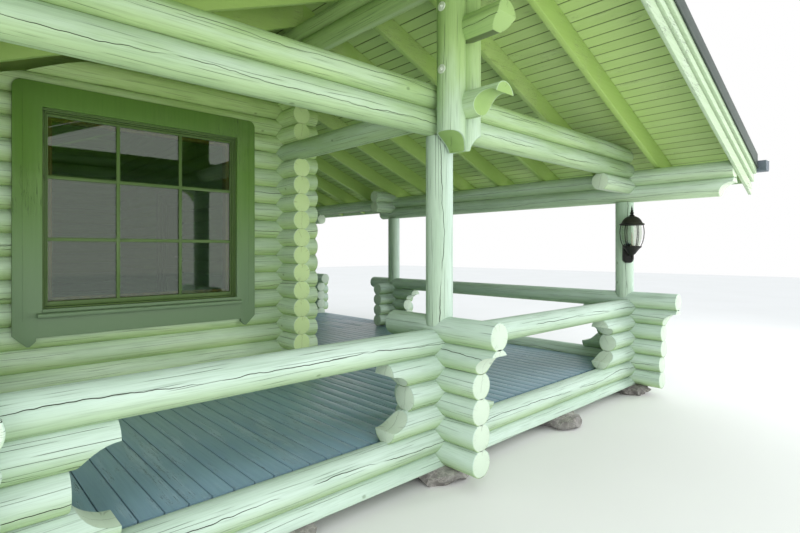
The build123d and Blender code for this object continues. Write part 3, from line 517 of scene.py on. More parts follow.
def rod(axis, start, end, centre, radius, sides=32):
    """A round bar along one axis, from start to end."""
    middle = Vector(centre)
    middle[axis] = (start + end) / 2
    bpy.ops.mesh.primitive_cylinder_add(
        vertices=sides, radius=radius, depth=abs(end - start), location=middle, rotation=flat_turn[axis]
    )
    return seat(bpy.context.object)


def work(piece, kind, **settings):
    """Adds one modifier to the piece and applies it."""
    take(piece)
    modifier = piece.modifiers.new(kind.lower(), kind)
    for name, setting in settings.items():
        setattr(modifier, name, setting)
    bpy.ops.object.modifier_apply(modifier=modifier.name)
    return piece


def ease(piece, width, segments=2, angle=40.0):
    """Rounds the sharp edges of the piece."""
    return work(
        piece,
        "BEVEL",
        width=width,
        segments=segments,
        limit_method="ANGLE",
        angle_limit=radians(angle),
        use_clamp_overlap=True,
        harden_normals=False,
    )


def drop(piece):
    """Deletes a helper shape with its mesh."""
    mesh = piece.data
    bpy.data.objects.remove(piece, do_unlink=True)
    bpy.data.meshes.remove(mesh)


def cut(piece, *cutters):
    """Cuts the cutters' shapes out of the piece."""
    for cutter in cutters:
        work(piece, "BOOLEAN", operation="DIFFERENCE", solver="EXACT", object=cutter)
        drop(cutter)
    return piece


def trim(piece, point, normal):
    """Saws the piece on a plane and drops the side that the normal points to."""
    take(piece)
    bpy.ops.object.mode_set(mode="EDIT")
    bpy.ops.mesh.select_all(action="SELECT")
    bpy.ops.mesh.bisect(plane_co=point, plane_no=normal, use_fill=True, clear_outer=True, clear_inner=False)
    bpy.ops.object.mode_set(mode="OBJECT")
    return piece


def under_roof(piece, lift=0.0):
    """Saws the piece off at the rafters' underside."""
    for side in (-1, 1):
        trim(piece, (x_wall, 0, ridge_under + lift), (side * roof_slope, 0, 1))
    return piece


def shape(piece, chosen, tool, kind="FACE"):
    """Selects faces or edges by a test on their middle and normal, and runs an edit tool on them."""
    take(piece)
    bpy.ops.object.mode_set(mode="EDIT")
    bpy.ops.mesh.select_mode(type=kind)
    bpy.ops.mesh.select_all(action="DESELECT")
    mesh = bmesh.from_edit_mesh(piece.data)
    if kind == "FACE":
        for face in mesh.faces:
            face.select_set(chosen(face.calc_center_median(), face.normal))
    else:
        for edge in mesh.edges:
            first, second = edge.verts
            edge.select_set(chosen((first.co + second.co) / 2, (second.co - first.co).normalized()))
    bmesh.update_edit_mesh(piece.data)
    tool()
    bpy.ops.object.mode_set(mode="OBJECT")
    return piece


def bevel_along(piece, axis, width, segments, place=None):
    """Bevels the edges along an axis, or those of them whose middles pass a test."""
    return shape(
        piece,
        lambda middle, direction: abs(direction[axis]) > 0.9 and (place is None or place(middle)),
        lambda: bpy.ops.mesh.bevel(offset=width, segments=segments),
        "EDGE",
    )


def twin(piece, offset=(0, 0, 0)):
    """A copy of the piece with its own mesh, moved by an offset."""
    copy = piece.copy()
    copy.data = piece.data.copy()
    bpy.context.collection.objects.link(copy)
    copy.data.transform(Matrix.Translation(Vector(offset)))
    return copy


def mark(piece, axis, middle, turn=None, hung=False):
    """Writes where each point lies along and across the piece, for its grain.

    The turn is where the main split lies round a log. A hung log has none below it.
    """
    global made_count
    made_count += 1
    mesh = piece.data
    side, up = [(1, 2), (0, 2), (1, 0)][axis]
    middle = Vector(middle)
    places = []
    for point in mesh.vertices:
        gap = point.co - middle
        places += (gap[axis], gap[side], gap[up])
    for name, kind in (("place", "FLOAT_VECTOR"), ("seed", "FLOAT"), ("turn", "FLOAT"), ("lean", "FLOAT")):
        old = mesh.attributes.get(name)
        if old:
            mesh.attributes.remove(old)
        mesh.attributes.new(name, kind, "POINT")
    mesh.attributes["place"].data.foreach_set("vector", places)
    same = {
        "seed": spread(made_count),
        "turn": 2 * pi * spread(made_count + 500) if turn is None else turn,
        # Lean weights the painted underside shade: full on lying logs, less on hung ones, weak on posts,
        # whose sides towards -X it darkens. The painted contact seam shows only at full lean.
        "lean": 0.3 if axis == 2 else 0.8 if hung else 1.0,
    }
    for name, value in same.items():
        mesh.attributes[name].data.foreach_set("value", [value] * len(mesh.vertices))
    return piece


def middle_of(piece):
    """The middle of the piece's box."""
    points = [point.co for point in piece.data.vertices]
    low = Vector([min(point[i] for point in points) for i in range(3)])
    high = Vector([max(point[i] for point in points) for i in range(3)])
    return (low + high) / 2


def grain(piece, axis):
    """Marks a board whose grain runs along one axis."""
    return mark(piece, axis, middle_of(piece))


def join(pieces, name):
    """Makes one object of several."""
    take(*pieces)
    if len(pieces) > 1:
        bpy.ops.object.join()
    whole = bpy.context.object
    whole.name = name
    whole.data.name = name
    return whole


def finish_piece(pieces, name, material, nodes=(), smooth=32.0):
    """Joins the pieces, gives them their finish and ties them to the cabin."""
    whole = join(list(pieces), name)
    whole.data.materials.clear()
    whole.data.materials.append(material)
    take(whole)
    bpy.ops.object.shade_smooth_by_angle(angle=radians(smooth))
    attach(whole, "root")
    if nodes:
        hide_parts(*nodes)
    return whole


# Round logs
def log(axis, start, end, across, level, hollows=(), low=None, high=None, turn=None, hung=False):
    """One log along X (0) or Y (1), with hollows in its ends and flats where it is planed.

    A hollow is its place along the log, its height and its radius. Low and high are the
    flats' heights in courses.
    """
    centre = [across, across, course(level)]
    piece = rod(axis, start, end, centre, log_radius)
    for centre_along, centre_height, hollow_radius in hollows:
        near = min(abs(centre_along - start), abs(centre_along - end)) < hollow_radius * 1.2
        if near and abs(centre_height - course(level)) < hollow_radius + log_radius:
            place = [across, across, centre_height]
            place[axis] = centre_along
            reach = 2 * log_radius
            cut(piece, rod(1 - axis, across - reach, across + reach, place, hollow_radius, 40))
    if low is not None:
        trim(piece, (0, 0, course(low)), (0, 0, -1))
    if high is not None:
        trim(piece, (0, 0, course(high)), (0, 0, 1))
    ease(piece, 0.0035)
    middle = list(centre)
    middle[axis] = (start + end) / 2
    return mark(piece, axis, middle, turn, hung)


def log_stack(axis, start, end, across, levels):
    """Like logs one over another, modelled once and copied up."""
    first = log(axis, start, end, across, levels[0])
    pieces = [first]
    middle = [across, across, 0.0]
    middle[axis] = (start + end) / 2
    for level in levels[1:]:
        copy = twin(first, (0, 0, (level - levels[0]) * log_pitch))
        middle[2] = course(level)
        pieces.append(mark(copy, axis, middle))
    return pieces


# Walls of the room
room_left = x_left - log_end
room_right = x_wall + log_end
room_front = y_wall - log_end
room_back = y_back + log_end
window_left = x_left + (x_wall - x_left - window_width) / 2
window_right = window_left + window_width


def room_row(y, low, high):
    """The logs as wide as the room, from one course up to another."""
    return log_stack(0, room_left, room_right, y, levels_between(low, high))


def sill_log(y):
    """The lowest log of a room wall, planed flat to lie on its stones."""
    return log(0, room_left, room_right, y, 0, low=0)


finish_piece(
    [sill_log(y_wall)] + room_row(y_wall, 1, 5),
    "front_wall_low_logs", wall_finish, ["front_wall_lower"],
)
side_levels = levels_between(6, 15)
finish_piece(
    [under_roof(piece) for piece in log_stack(0, room_left, window_left, y_wall, side_levels)]
    + log_stack(0, window_right, room_right, y_wall, side_levels),
    "front_wall_window_logs", wall_finish, ["front_wall_sides"],
)
finish_piece(
    [under_roof(piece) for y in (y_wall, y_back) for piece in room_row(y, 16, 21)],
    "gable_wall_logs", wall_finish, ["gable_walls"],
)
finish_piece(
    [sill_log(y_back)] + room_row(y_back, 1, 13),
    "back_wall_logs", log_finish, ["back_wall"],
)
finish_piece(
    log_stack(1, room_front, room_back, x_left, levels_between(0.5, 13.5)),
    "left_wall_logs", log_finish, ["left_wall"],
)
finish_piece(
    [log(1, room_front, room_back, x_wall, 0.5)],
    "right_wall_sill_log", wall_finish, ["right_wall_base"],
)
y_door = (y_entry + y_entry_end) / 2
door_from = y_door - door_width / 2
door_to = y_door + door_width / 2
jamb_levels = levels_between(1.5, 13.5)
finish_piece(
    log_stack(1, room_front, door_from, x_wall, jamb_levels)
    + log_stack(1, door_to, room_back, x_wall, jamb_levels),
    "right_wall_door_logs", wall_finish, ["right_wall_sides"],
)
finish_piece(
    log_stack(1, room_front, room_back, x_wall, levels_between(15.5, 19.5)),
    "right_wall_upper_logs", wall_finish, ["right_wall_upper"],
)

# Plates, ridge logs and beams
plate_front = y_front - 3.3 * log_pitch
plate_hollow = (plate_front + 0.45 * log_pitch, course(14.08), 0.68 * log_pitch)
plank_half = 0.6 * log_pitch / 2
roof_end_gap = 0.025
y_first_rafter = y_verge + roof_end_gap
y_last_rafter = y_verge_back - roof_end_gap
plate_plank = block(
    (x_left - plank_half, y_first_rafter, course(14.8)), (x_left + plank_half, y_last_rafter, course(15.9))
)
finish_piece(
    [
        log(1, plate_front, room_back, x_wall, plate_course, [plate_hollow], turn=3.3, hung=True),
        under_roof(log(1, plate_front, room_back, x_left, plate_course, [plate_hollow], hung=True)),
        under_roof(mark(plate_plank, 1, (x_left, 0, course(plate_course)), 1.6)),
    ],
    "wall_plate_logs", plate_finish, ["wall_plates"],
)
ridge_level = (ridge_under - 0.45 * log_pitch - stone_height) / log_pitch
ridge_pair = dict(low=ridge_pair_course, turn=2.6, hung=True)
finish_piece(
    [
        under_roof(log(1, y_first_rafter, y_last_rafter, x_wall, ridge_level, turn=2.2)),
        log(1, y_first_rafter, y_last_rafter, x_wall, ridge_level - 1, **ridge_pair),
    ],
    "ridge_pole_logs", beam_finish, ["ridge_logs"],
)
tie_right = x_side - 0.4 * log_pitch
tie_round = 1.3 * log_pitch
tie_top = course(tie_course + 1) + log_radius


def tie_log(y, level, turn):
    """One log of a tie beam, its right end rounded off under the eave."""
    piece = log(0, room_left, tie_right, y, level)
    round_x = tie_right - tie_round
    round_z = tie_top - tie_round
    corner = block((round_x, y - 0.2, round_z), (tie_right + 0.2, y + 0.2, tie_top + 0.1))
    cut(corner, rod(1, y - 0.3, y + 0.3, (round_x, y, round_z), tie_round, 64))
    cut(piece, corner)
    middle = ((room_left + tie_right) / 2, y, course(level))
    return under_roof(mark(piece, 0, middle, turn, hung=level == tie_course), rafter_rise)


finish_piece(
    [
        tie_log(y, tie_course + row, turn)
        for y, turns in ((y_front, (4.4, 4.9)), (y_back, (None, None)))
        for row, turn in enumerate(turns)
    ],
    "tie_beam_logs", beam_finish, ["tie_beams"],
)
beam_front = y_front - beam_end
beam_back = y_back + beam_end
beam_hollows = [(y, course(eave_course), 0.75 * log_pitch) for y in (beam_front, beam_back)]
low_beam = dict(across=x_side, level=eave_course + 0.5, hollows=beam_hollows, hung=True)
finish_piece(
    [
        under_roof(log(1, beam_front, beam_back, x_side, eave_course + 1.5, turn=4.6)),
        log(1, beam_front, y_entry + 1.6 * log_pitch, turn=4.3, **low_beam),
        log(1, y_entry_end - 2.3 * log_pitch, beam_back, turn=4.5, **low_beam),
    ],
    "eave_beam_logs", eave_finish, ["eave_beam"],
)
corbel_right = x_side + 1.6 * log_pitch
corbel_flats = dict(low=12.52, high=13.48, turn=4.7)
corbels = []
for y in (y_front, y_back):
    corbel = log(0, x_side - 4.2 * log_pitch, corbel_right, y, 13, **corbel_flats)
    corbels.append(ease(corbel, 0.016, 1, 60.0))
for y in (y_entry, y_entry_end):
    for level in (13, 14):
        corbels.append(under_roof(log(0, x_side - 2.6 * log_pitch, corbel_right, y, level)))
finish_piece(corbels, "post_corbel_logs", eave_finish, ["post_corbels"])


# Posts
def post(x, y, foot, top, turn):
    """One standing round timber."""
    piece = ease(rod(2, foot, top, (x, y, 0), post_radius, 36), 0.004)
    return mark(piece, 2, (x, y, (foot + top) / 2), turn)


tie_under = tie_course - 0.5
post_places = [
    (x_left, y_front, tie_under, -2.03),
    (x_wall, y_front, tie_under, -2.33),
    (x_side, y_front + 0.3 * log_pitch, eave_course, -2.43),
]
post_places += [(x_side, y, eave_course, None) for y in (y_entry, y_entry_end, y_back)]
finish_piece(
    [post(x, y, course(5.65), course(top) - 0.002, turn) for x, y, top, turn in post_places],
    "porch_post_timbers", log_finish, ["porch_posts"],
)

# The pair of king posts that hangs from the ridge logs, scooped at its foot
king_y = y_front - log_radius - post_radius - 0.0003
king_xs = (x_wall - 0.525 * log_pitch, x_wall + 0.445 * log_pitch)
foot_scoop = 0.8 * log_pitch
king_pieces = []
for x, side, turn in zip(king_xs, (-1, 1), (1.4, 1.7)):
    top = course(ridge_pair_course) - 0.002
    piece = rod(2, course(king_foot_course), top, (x, king_y, 0), post_radius, 36)
    scoop_x = x + side * 0.45 * log_pitch
    cut(piece, rod(1, king_y - 0.3, king_y + 0.3, (scoop_x, 0, course(12.6)), foot_scoop, 48))
    trim(piece, ((sum(king_xs)) / 2 + side * 0.0015, 0, 0), (-side, 0, 0))
    king_pieces.append(mark(ease(piece, 0.004), 2, (x, king_y, course(16.1)), turn))
finish_piece(king_pieces, "king_post_timbers", plate_finish, ["king_posts"])
bolt_pieces = []
for height in (2.379, 2.731):
    for x, side in zip(king_xs, (-1, 1)):
        face = x + side * post_radius
        centre = (0, king_y, height)
        washer = rod(0, face - side * 0.006, face + side * 0.003, centre, 0.026, 28)
        nut = rod(0, face, face + side * 0.010, centre, 0.0125, 6)
        tip = rod(0, face, face + side * 0.014, centre, 0.006, 16)
        bolt_pieces += [ease(washer, 0.0008), ease(nut, 0.0008), ease(tip, 0.001)]
finish_piece(bolt_pieces, "king_post_bolts", bolt_finish, smooth=30.0)

# The short log through the king posts, bevelled below its front end
stub_front = y_front - 3.4 * log_pitch
stub_bevel = 0.35 * log_pitch
stub = log(1, stub_front, king_y + post_radius, x_wall, stub_course, turn=4.4)
bevel_cutter = block((-log_radius * 2, -stub_bevel, -stub_bevel), (log_radius * 2, stub_bevel, stub_bevel))
bevel_cutter.data.transform(
    Matrix.Translation((x_wall, stub_front, course(17.0))) @ Matrix.Rotation(radians(45.0), 4, "X")
)
cut(stub, bevel_cutter)
ease(stub, 0.003)
mark(stub, 1, (x_wall, y_front, course(stub_course)), 4.4)
finish_piece([stub], "gable_stub_timber", plate_finish, ["gable_stub_log"])

# Rails and the low logs that close the porch floor
left_front_end = y_front - log_end
left_back_end = y_wall - log_end
right_end = x_side + crib_right_end
back_end = y_back + crib_right_end
rail_front = y_front - long_end
side_rail = rail_course + 0.5
finish_piece(
    [
        log(0, room_left, right_end, y_front, rail_course, turn=4.9, hung=True),
        log(0, room_right, right_end, y_back, rail_course, hung=True),
    ],
    "front_and_back_rails", log_finish, ["top_rails_across"],
)
finish_piece(
    [
        log(1, rail_front, y_entry + long_end, x_side, side_rail, turn=1.7, hung=True),
        log(1, y_entry_end - long_end, back_end, x_side, side_rail, hung=True),
        log(1, rail_front, left_back_end, x_left, side_rail, turn=1.2, hung=True),
    ],
    "side_rails", log_finish, ["top_rails_along"],
)
finish_piece(
    [
        log(0, room_left, right_end, y_front, 0, low=0, turn=4.5),
        log(0, room_left, right_end, y_front, 1, turn=5.0),
        log(0, room_right, right_end, y_back, 0, low=0),
        log(0, room_right, right_end, y_back, 1),
    ],
    "front_and_back_low_logs", log_finish, ["low_logs_across"],
)
low_front = y_front - crib_right_end
finish_piece(
    [
        log(1, low_front, back_end, x_side, 0.5),
        log(1, left_front_end, left_back_end, x_left, 0.5),
    ],
    "side_sill_timbers", log_finish, ["sill_logs_along"],
)
finish_piece(
    [
        log(1, low_front, y_entry + log_end, x_side, 1.5, turn=4.6),
        log(1, y_entry_end - log_end, back_end, x_side, 1.5),
        log(1, left_front_end, left_back_end, x_left, 1.5),
    ],
    "side_low_logs", log_finish, ["low_logs_along"],
)

# Short log ends crossed under the rails, from the lowest of three up
bracket_radius = 1.05 * log_pitch
rail_end_radius = 0.82 * log_pitch
rail_end_course = 3.96
plain_ends = (log_end, log_end, log_end)
bracket_ends = (long_end, short_end, long_end)
wide_ends = (wide_long_end, wide_short_end, wide_long_end)
front_ends = (log_end, log_end, long_end)


def crib(axis, x, y, starts, ends):
    """The three logs of one crib along an axis, hollowed under their long ends."""
    centre, across = ((x, y), (y, x))[axis]
    level = 2 + 0.5 * axis
    hollows = []
    for side, reaches in ((-1, starts), (1, ends)):
        if reaches[0] > reaches[1]:
            hollows.append((centre + side * reaches[0], course(level + 1), bracket_radius))
        if reaches[2] > reaches[1] and reaches[0] == reaches[1]:
            hollows.append((centre + side * reaches[2], course(rail_end_course), rail_end_radius))
    return [
        log(axis, centre - start, centre + end, across, level + row, hollows)
        for row, (start, end) in enumerate(zip(starts, ends))
    ]


crib_logs = crib(0, x_left, y_front, plain_ends, bracket_ends)
crib_logs += crib(0, x_wall, y_front, bracket_ends, bracket_ends)
crib_logs += crib(0, x_side, y_front, wide_ends, plain_ends)
crib_logs += crib(0, x_side, y_back, wide_ends, plain_ends)
for y in (y_entry, y_entry_end):
    crib_logs += log_stack(0, x_side - log_end, x_side + log_end, y, (2, 3, 4, 5))
finish_piece(crib_logs, "crib_ends_across", log_finish, ["crib_logs_across"])
crib_logs = crib(1, x_left, y_front, front_ends, bracket_ends)
crib_logs += crib(1, x_side, y_front, front_ends, bracket_ends)
crib_logs += crib(1, x_side, y_entry, bracket_ends, plain_ends)
crib_logs += crib(1, x_side, y_entry_end, plain_ends, bracket_ends)
crib_logs += crib(1, x_side, y_back, bracket_ends, plain_ends)
crib_logs += log_stack(1, left_front_end, y_front + log_end, x_wall, (0.5, 1.5, 2.5, 3.5))
end_hollow = (rail_front, course(rail_end_course), rail_end_radius)
crib_logs.append(log(1, rail_front, y_front + log_end, x_wall, 4.5, [end_hollow]))
crib_logs.append(log(1, rail_front, y_front + 2.8 * log_pitch, x_wall, side_rail, turn=0.6))
finish_piece(crib_logs, "crib_ends_along", log_finish, ["crib_logs_along"])

# Boards on the porch floor and in the room
deck_thickness = 0.028
deck_top = course(deck_course)
deck_under = deck_top - deck_thickness
deck_gap = 0.0055
deck_pitch = 0.0995
deck_first_gap = -1.9157
deck_turn_gap = deck_first_gap + 18 * deck_pitch
edge = log_radius + 0.003
deck_left = x_left + edge
deck_right = x_side - edge
deck_front = y_front + edge
deck_split = x_wall + edge
corner_reach = log_end + 0.003


def plank(low, high, axis, round_edge=0.002):
    """One board with eased edges and its grain along an axis."""
    return grain(ease(block(low, high), round_edge), axis)


def clipped(piece, low, high, corners):
    """Cuts the corners' blocks out of a board where they reach it."""
    for corner_low, corner_high in corners:
        if all(corner_low[i] < high[i] and corner_high[i] > low[i] for i in (0, 1)):
            cut(piece, block((*corner_low, deck_under - 0.05), (*corner_high, deck_top + 0.05)))
    return piece


def floor_run(x_range, y_range, wide, corners=(), joint=None, gap_at=None):
    """Boards side by side along Y, with their butt joints staggered.

    The boards are shared out evenly, or lie on a grid of gaps where gap_at is one of them.
    """
    pieces = []
    x_from, x_to = x_range
    if gap_at is None:
        count = max(1, round((x_to - x_from) / wide))
        edges = [x_from + (x_to - x_from) * number / count for number in range(count + 1)]
    else:
        first = int((x_from + 0.01 - gap_at) // wide) + 1
        last = int((x_to - 0.01 - gap_at) // wide)
        edges = [x_from] + [gap_at + wide * number for number in range(first, last + 1)] + [x_to]
    for number, (low_x, high_x) in enumerate(zip(edges, edges[1:])):
        cuts = list(y_range)
        if joint:
            cuts.insert(1, joint[number % len(joint)])
        for near, far in zip(cuts, cuts[1:]):
            low = (low_x + deck_gap / 2, near + 0.001, deck_under)
            high = (high_x - deck_gap / 2, far - 0.001, deck_top)
            piece = clipped(block(low, high), low, high, corners)
            pieces.append(grain(ease(piece, 0.0025), 1))
    return pieces


deck_corners = [
    ((x_wall - edge, y_front), (x_wall + edge, y_front + corner_reach)),
    ((x_wall - edge, y_wall - corner_reach), (x_wall + edge, y_wall)),
    ((x_wall, y_wall - edge), (x_wall + corner_reach + 0.003, y_wall + edge)),
]
side_bearers = [y_wall + (y_back - y_wall) * (row + 0.5) / 7 for row in range(7)]
front_bearers = [y_front + (y_wall - y_front) / 3.4 * (row + 0.7) for row in range(3)]
side_joints = (side_bearers[2], side_bearers[4], side_bearers[3])
deck_pieces = floor_run(
    (deck_left, deck_turn_gap), (deck_front, y_wall - edge), deck_pitch, deck_corners, gap_at=deck_first_gap
)
deck_pieces += floor_run(
    (deck_split, deck_turn_gap), (y_wall - edge, y_back - edge), deck_pitch, deck_corners
)
deck_pieces += floor_run(
    (deck_turn_gap, deck_right), (deck_front, y_back - edge),
    deck_pitch, deck_corners, side_joints, deck_first_gap,
)
deck_pieces += floor_run(
    (deck_right, deck_right + edge + 0.6 * log_pitch),
    (y_entry + corner_reach, y_entry_end - corner_reach),
    0.09,
)
finish_piece(deck_pieces, "porch_deck_boards", deck_finish, ["porch_deck"])
finish_piece(
    floor_run(
        (deck_left, x_wall - edge), (y_wall + edge, y_back - edge),
        0.12, joint=(side_bearers[2], side_bearers[4]),
    ),
    "room_floor_boards", floor_finish, ["room_floor"],
)


def bearer(x_from, x_to, y):
    """One plank on edge under the boards."""
    return plank((x_from, y - 0.024, stone_height), (x_to, y + 0.024, deck_under), 0)


bearers = [bearer(deck_left, deck_right, y) for y in front_bearers]
for y in side_bearers:
    bearers += [bearer(deck_left, x_wall - edge, y), bearer(x_wall + edge, deck_right, y)]
finish_piece(bearers, "floor_bearer_planks", bearer_finish, ["floor_bearers"])


# Field stones under the logs
def field_stone(size, seed):
    """A flat-topped rough boulder around the origin."""
    finer = 3 if size > 0.25 else 2
    bpy.ops.mesh.primitive_ico_sphere_add(subdivisions=finer, radius=0.5, location=(0, 0, 0))
    piece = bpy.context.object
    piece.scale = (size, size * 0.94, stone_height * 1.5)
    seat(piece)
    take(piece)
    bpy.ops.object.mode_set(mode="EDIT")
    bpy.ops.mesh.select_all(action="SELECT")
    bpy.ops.transform.vertex_random(offset=0.05 * size, uniform=0.6, normal=0.4, seed=seed)
    bpy.ops.object.mode_set(mode="OBJECT")
    piece.data.transform(Matrix.Translation((0, 0, stone_height / 2)))
    trim(piece, (0, 0, 0.0), (0, 0, -1))
    return trim(piece, (0, 0, stone_height), (0, 0, 1))


room_middle = (x_left + x_wall) / 2
porch_middle = (x_wall + x_side) / 2
room_width = x_wall - x_left
side_width = x_side - x_wall
stone_places = [(x, y) for x in (x_left, x_wall, x_side) for y in (y_front, y_back)]
stone_places += [(x, y_wall) for x in (x_left, x_wall, room_middle)]
stone_places += [(x_side, y_entry), (x_side, y_entry_end), (x_side, (y_front + y_entry) / 2)]
stone_places += [(x_left, (y_wall + y_back) / 2), (x_wall, (y_wall + y_back) / 2)]
stone_places += [(room_middle, y_front), (porch_middle, y_front)]
stone_places += [(porch_middle, y_back), (room_middle, y_back)]
quarter_xs = [
    start + share * wide
    for start, wide in ((x_left, room_width), (x_wall, side_width))
    for share in (0.25, 0.75)
]
small_places = [(x, y) for x in quarter_xs for y in front_bearers + side_bearers]
large_stone = 0.377
small_stone = large_stone / 2
large_stones = [field_stone(large_stone, seed) for seed in (3, 8, 21)]
small_stones = [field_stone(small_stone, seed) for seed in (5, 13)]
stone_pieces = []
for models, places in ((large_stones, stone_places), (small_stones, small_places)):
    for number, (x, y) in enumerate(places):
        piece = twin(models[number % len(models)])
        turn = Matrix.Rotation(2 * pi * spread(number), 4, "Z")
        piece.data.transform(Matrix.Translation((x, y, 0)) @ turn)
        stone_pieces.append(piece)
for model in large_stones + small_stones:
    drop(model)
finish_piece(
    stone_pieces, "footing_field_stones", stone_finish, ["footing_stones"], smooth=50.0
)


# Roof
def sloped(side, y_from, y_to, run_from, run_to, low, high):
    """A block that lies along one roof slope, between heights over the rafters' underside."""
    piece = block((run_from, y_from, low), (run_to, y_to, high))
    lean = Matrix(((side, 0, 0, x_wall), (0, 1, 0, 0), (-roof_slope, 0, 1, ridge_under), (0, 0, 0, 1)))
    piece.data.transform(lean)
    if side < 0:
        piece.data.flip_normals()
    return piece


def sloped_grain(piece, axis, side, run_middle, y_middle, low):
    """Marks a roof board's grain."""
    height = ridge_under - roof_slope * run_middle + low
    return mark(piece, axis, (x_wall + side * run_middle, y_middle, height))


slopes = ((1, right_run, "right"), (-1, left_run, "left"))
rafter_half = 0.025
rafter_spacing = 0.6001428
rafter_ys = [y_first_rafter + rafter_spacing * step for step in range(15)]
for side, run, hand in slopes:
    near, far = rafter_ys[0] - rafter_half, rafter_ys[0] + rafter_half
    first = ease(sloped(side, near, far, 0.0, run, 0.0, rafter_rise), 0.005)
    pieces = []
    for y in rafter_ys:
        piece = twin(first, (0, y - rafter_ys[0], 0))
        pieces.append(sloped_grain(piece, 0, side, run / 2, y, rafter_rise / 2))
    drop(first)
    node = "rafters_" + hand
    finish_piece(pieces, node + "_timbers", rafter_finish, [node])

matchboard_width = 0.0882
board_gap = 0.0016
board_bevel = 0.0040
for side, run, hand in slopes:
    count = round(run / matchboard_width)
    step = run / count
    pieces = []
    for row in range(count):
        joint = rafter_ys[4 + int(7 * spread(row + 31 * (side + 2)))]
        high_edge, low_edge = row * step + board_gap, (row + 1) * step - board_gap
        for first, last in ((y_verge, joint), (joint, y_verge_back)):
            near, far = first + 0.0006, last - 0.0006
            piece = sloped(side, near, far, high_edge, low_edge, rafter_rise, boards_top)
            bevel_along(
                piece, 1, board_bevel, 1,
                lambda middle: middle.z < roof_under(middle.x) + rafter_rise + board_bevel,
            )
            pieces.append(sloped_grain(piece, 1, side, (row + 0.5) * step, (first + last) / 2, rafter_rise))
    name = "soffit_matchboards_" + hand
    node = "soffit_boards_" + hand
    finish_piece(pieces, name, soffit_finish, [node], smooth=20.0)

seam_half = 0.006
seam_spacing = 0.476
first_seam = y_verge + 0.42
for side, run, hand in slopes:
    reach = run + fascia_thickness
    sheet = ease(sloped(side, y_verge, y_verge_back, 0.0, reach, boards_top + 0.001, cover_top), 0.003)
    seam = sloped(side, -seam_half, seam_half, 0.03, reach - 0.004, cover_top - 0.002, cover_top + 0.024)
    ease(seam, 0.003)
    pieces = [sheet] + [twin(seam, (0, first_seam + seam_spacing * number, 0)) for number in range(17)]
    drop(seam)
    if side > 0:
        roll_place = (x_wall, 0, ridge_under + cover_top + 0.012)
        pieces.append(ease(rod(1, y_verge, y_verge_back, roll_place, 0.022, 20), 0.002))
    cap = sloped(side, y_verge, y_verge_back, 0.0, 0.15, cover_top + 0.001, cover_top + 0.012)
    pieces.append(ease(cap, 0.002))
    node = "roof_cover_" + hand
    finish_piece(pieces, node + "_sheets", roof_finish, [node])

# Verge boards stand out in three steps under a metal edge with a drip lip
verge_steps = ((-0.72, -0.04, 0.026), (0.06, 0.44, 0.044), (0.54, 0.94, 0.062))
verge_metal_low = 0.95 * log_pitch
verge_pieces, metal_pieces = [], []
for y_inner, outward in ((y_verge, -1), (y_verge_back, 1)):
    for side, run, _ in slopes:
        reach = run + fascia_thickness
        for low, high, thick in verge_steps:
            near, far = sorted((y_inner, y_inner + outward * thick))
            piece = sloped(side, near, far, 0.0, reach, low * log_pitch, high * log_pitch)
            verge_pieces.append(sloped_grain(ease(piece, 0.004), 0, side, reach / 2, near, low * log_pitch))
        near, far = sorted((y_inner, y_inner + outward * 0.072))
        strip = sloped(side, near, far, 0.0, reach, verge_metal_low, cover_top + 0.006)
        near, far = sorted((y_inner + outward * 0.068, y_inner + outward * 0.077))
        lip = sloped(side, near, far, 0.0, reach, verge_metal_low - 0.012, verge_metal_low + 0.010)
        metal_pieces += [ease(strip, 0.003), ease(lip, 0.002)]
finish_piece(verge_pieces, "verge_board_steps", verge_finish, ["verge_boards"])
finish_piece(metal_pieces, "verge_edge_strips", edge_finish, ["verge_metal_edges"])

# Fascias and gutters at the eaves
fascia_pieces, gutter_pieces = [], []
gutter_wide = 0.116
gutter_high = 0.095
gutter_past = 0.132
gutter_curve = 0.036
gutter_from = y_verge - gutter_past
gutter_to = y_verge_back + gutter_past


def gutter_trough(near, far, top):
    """An open gutter with a round bottom, dug out from above."""
    trough = block((near, gutter_from, top - gutter_high), (far, gutter_to, top))
    middle_x = (near + far) / 2
    bevel_along(trough, 1, gutter_curve, 6, lambda middle: middle.z < top - gutter_high + 0.01)
    shape(trough, lambda middle, normal: normal.z > 0.9, lambda: bpy.ops.mesh.inset(thickness=0.003))
    return shape(
        trough,
        lambda middle, normal: normal.z > 0.9 and abs(middle.y) < 0.1 and abs(middle.x - middle_x) < 0.02,
        lambda: bpy.ops.mesh.extrude_region_move(
            TRANSFORM_OT_translate={"value": (0, 0, -gutter_high + 0.012)}
        ),
    )


def gutter_strap(near, far, top):
    """A strap that follows the trough's outside, open above."""
    strap = block((near - 0.0015, -0.012, top - gutter_high - 0.0025), (far + 0.0015, 0.012, top - 0.001))
    bevel_along(strap, 1, gutter_curve + 0.001, 6, lambda middle: middle.z < top - gutter_high + 0.01)
    return cut(strap, block((near + 0.001, -0.1, top - gutter_high + 0.03), (far - 0.001, 0.1, top + 0.02)))


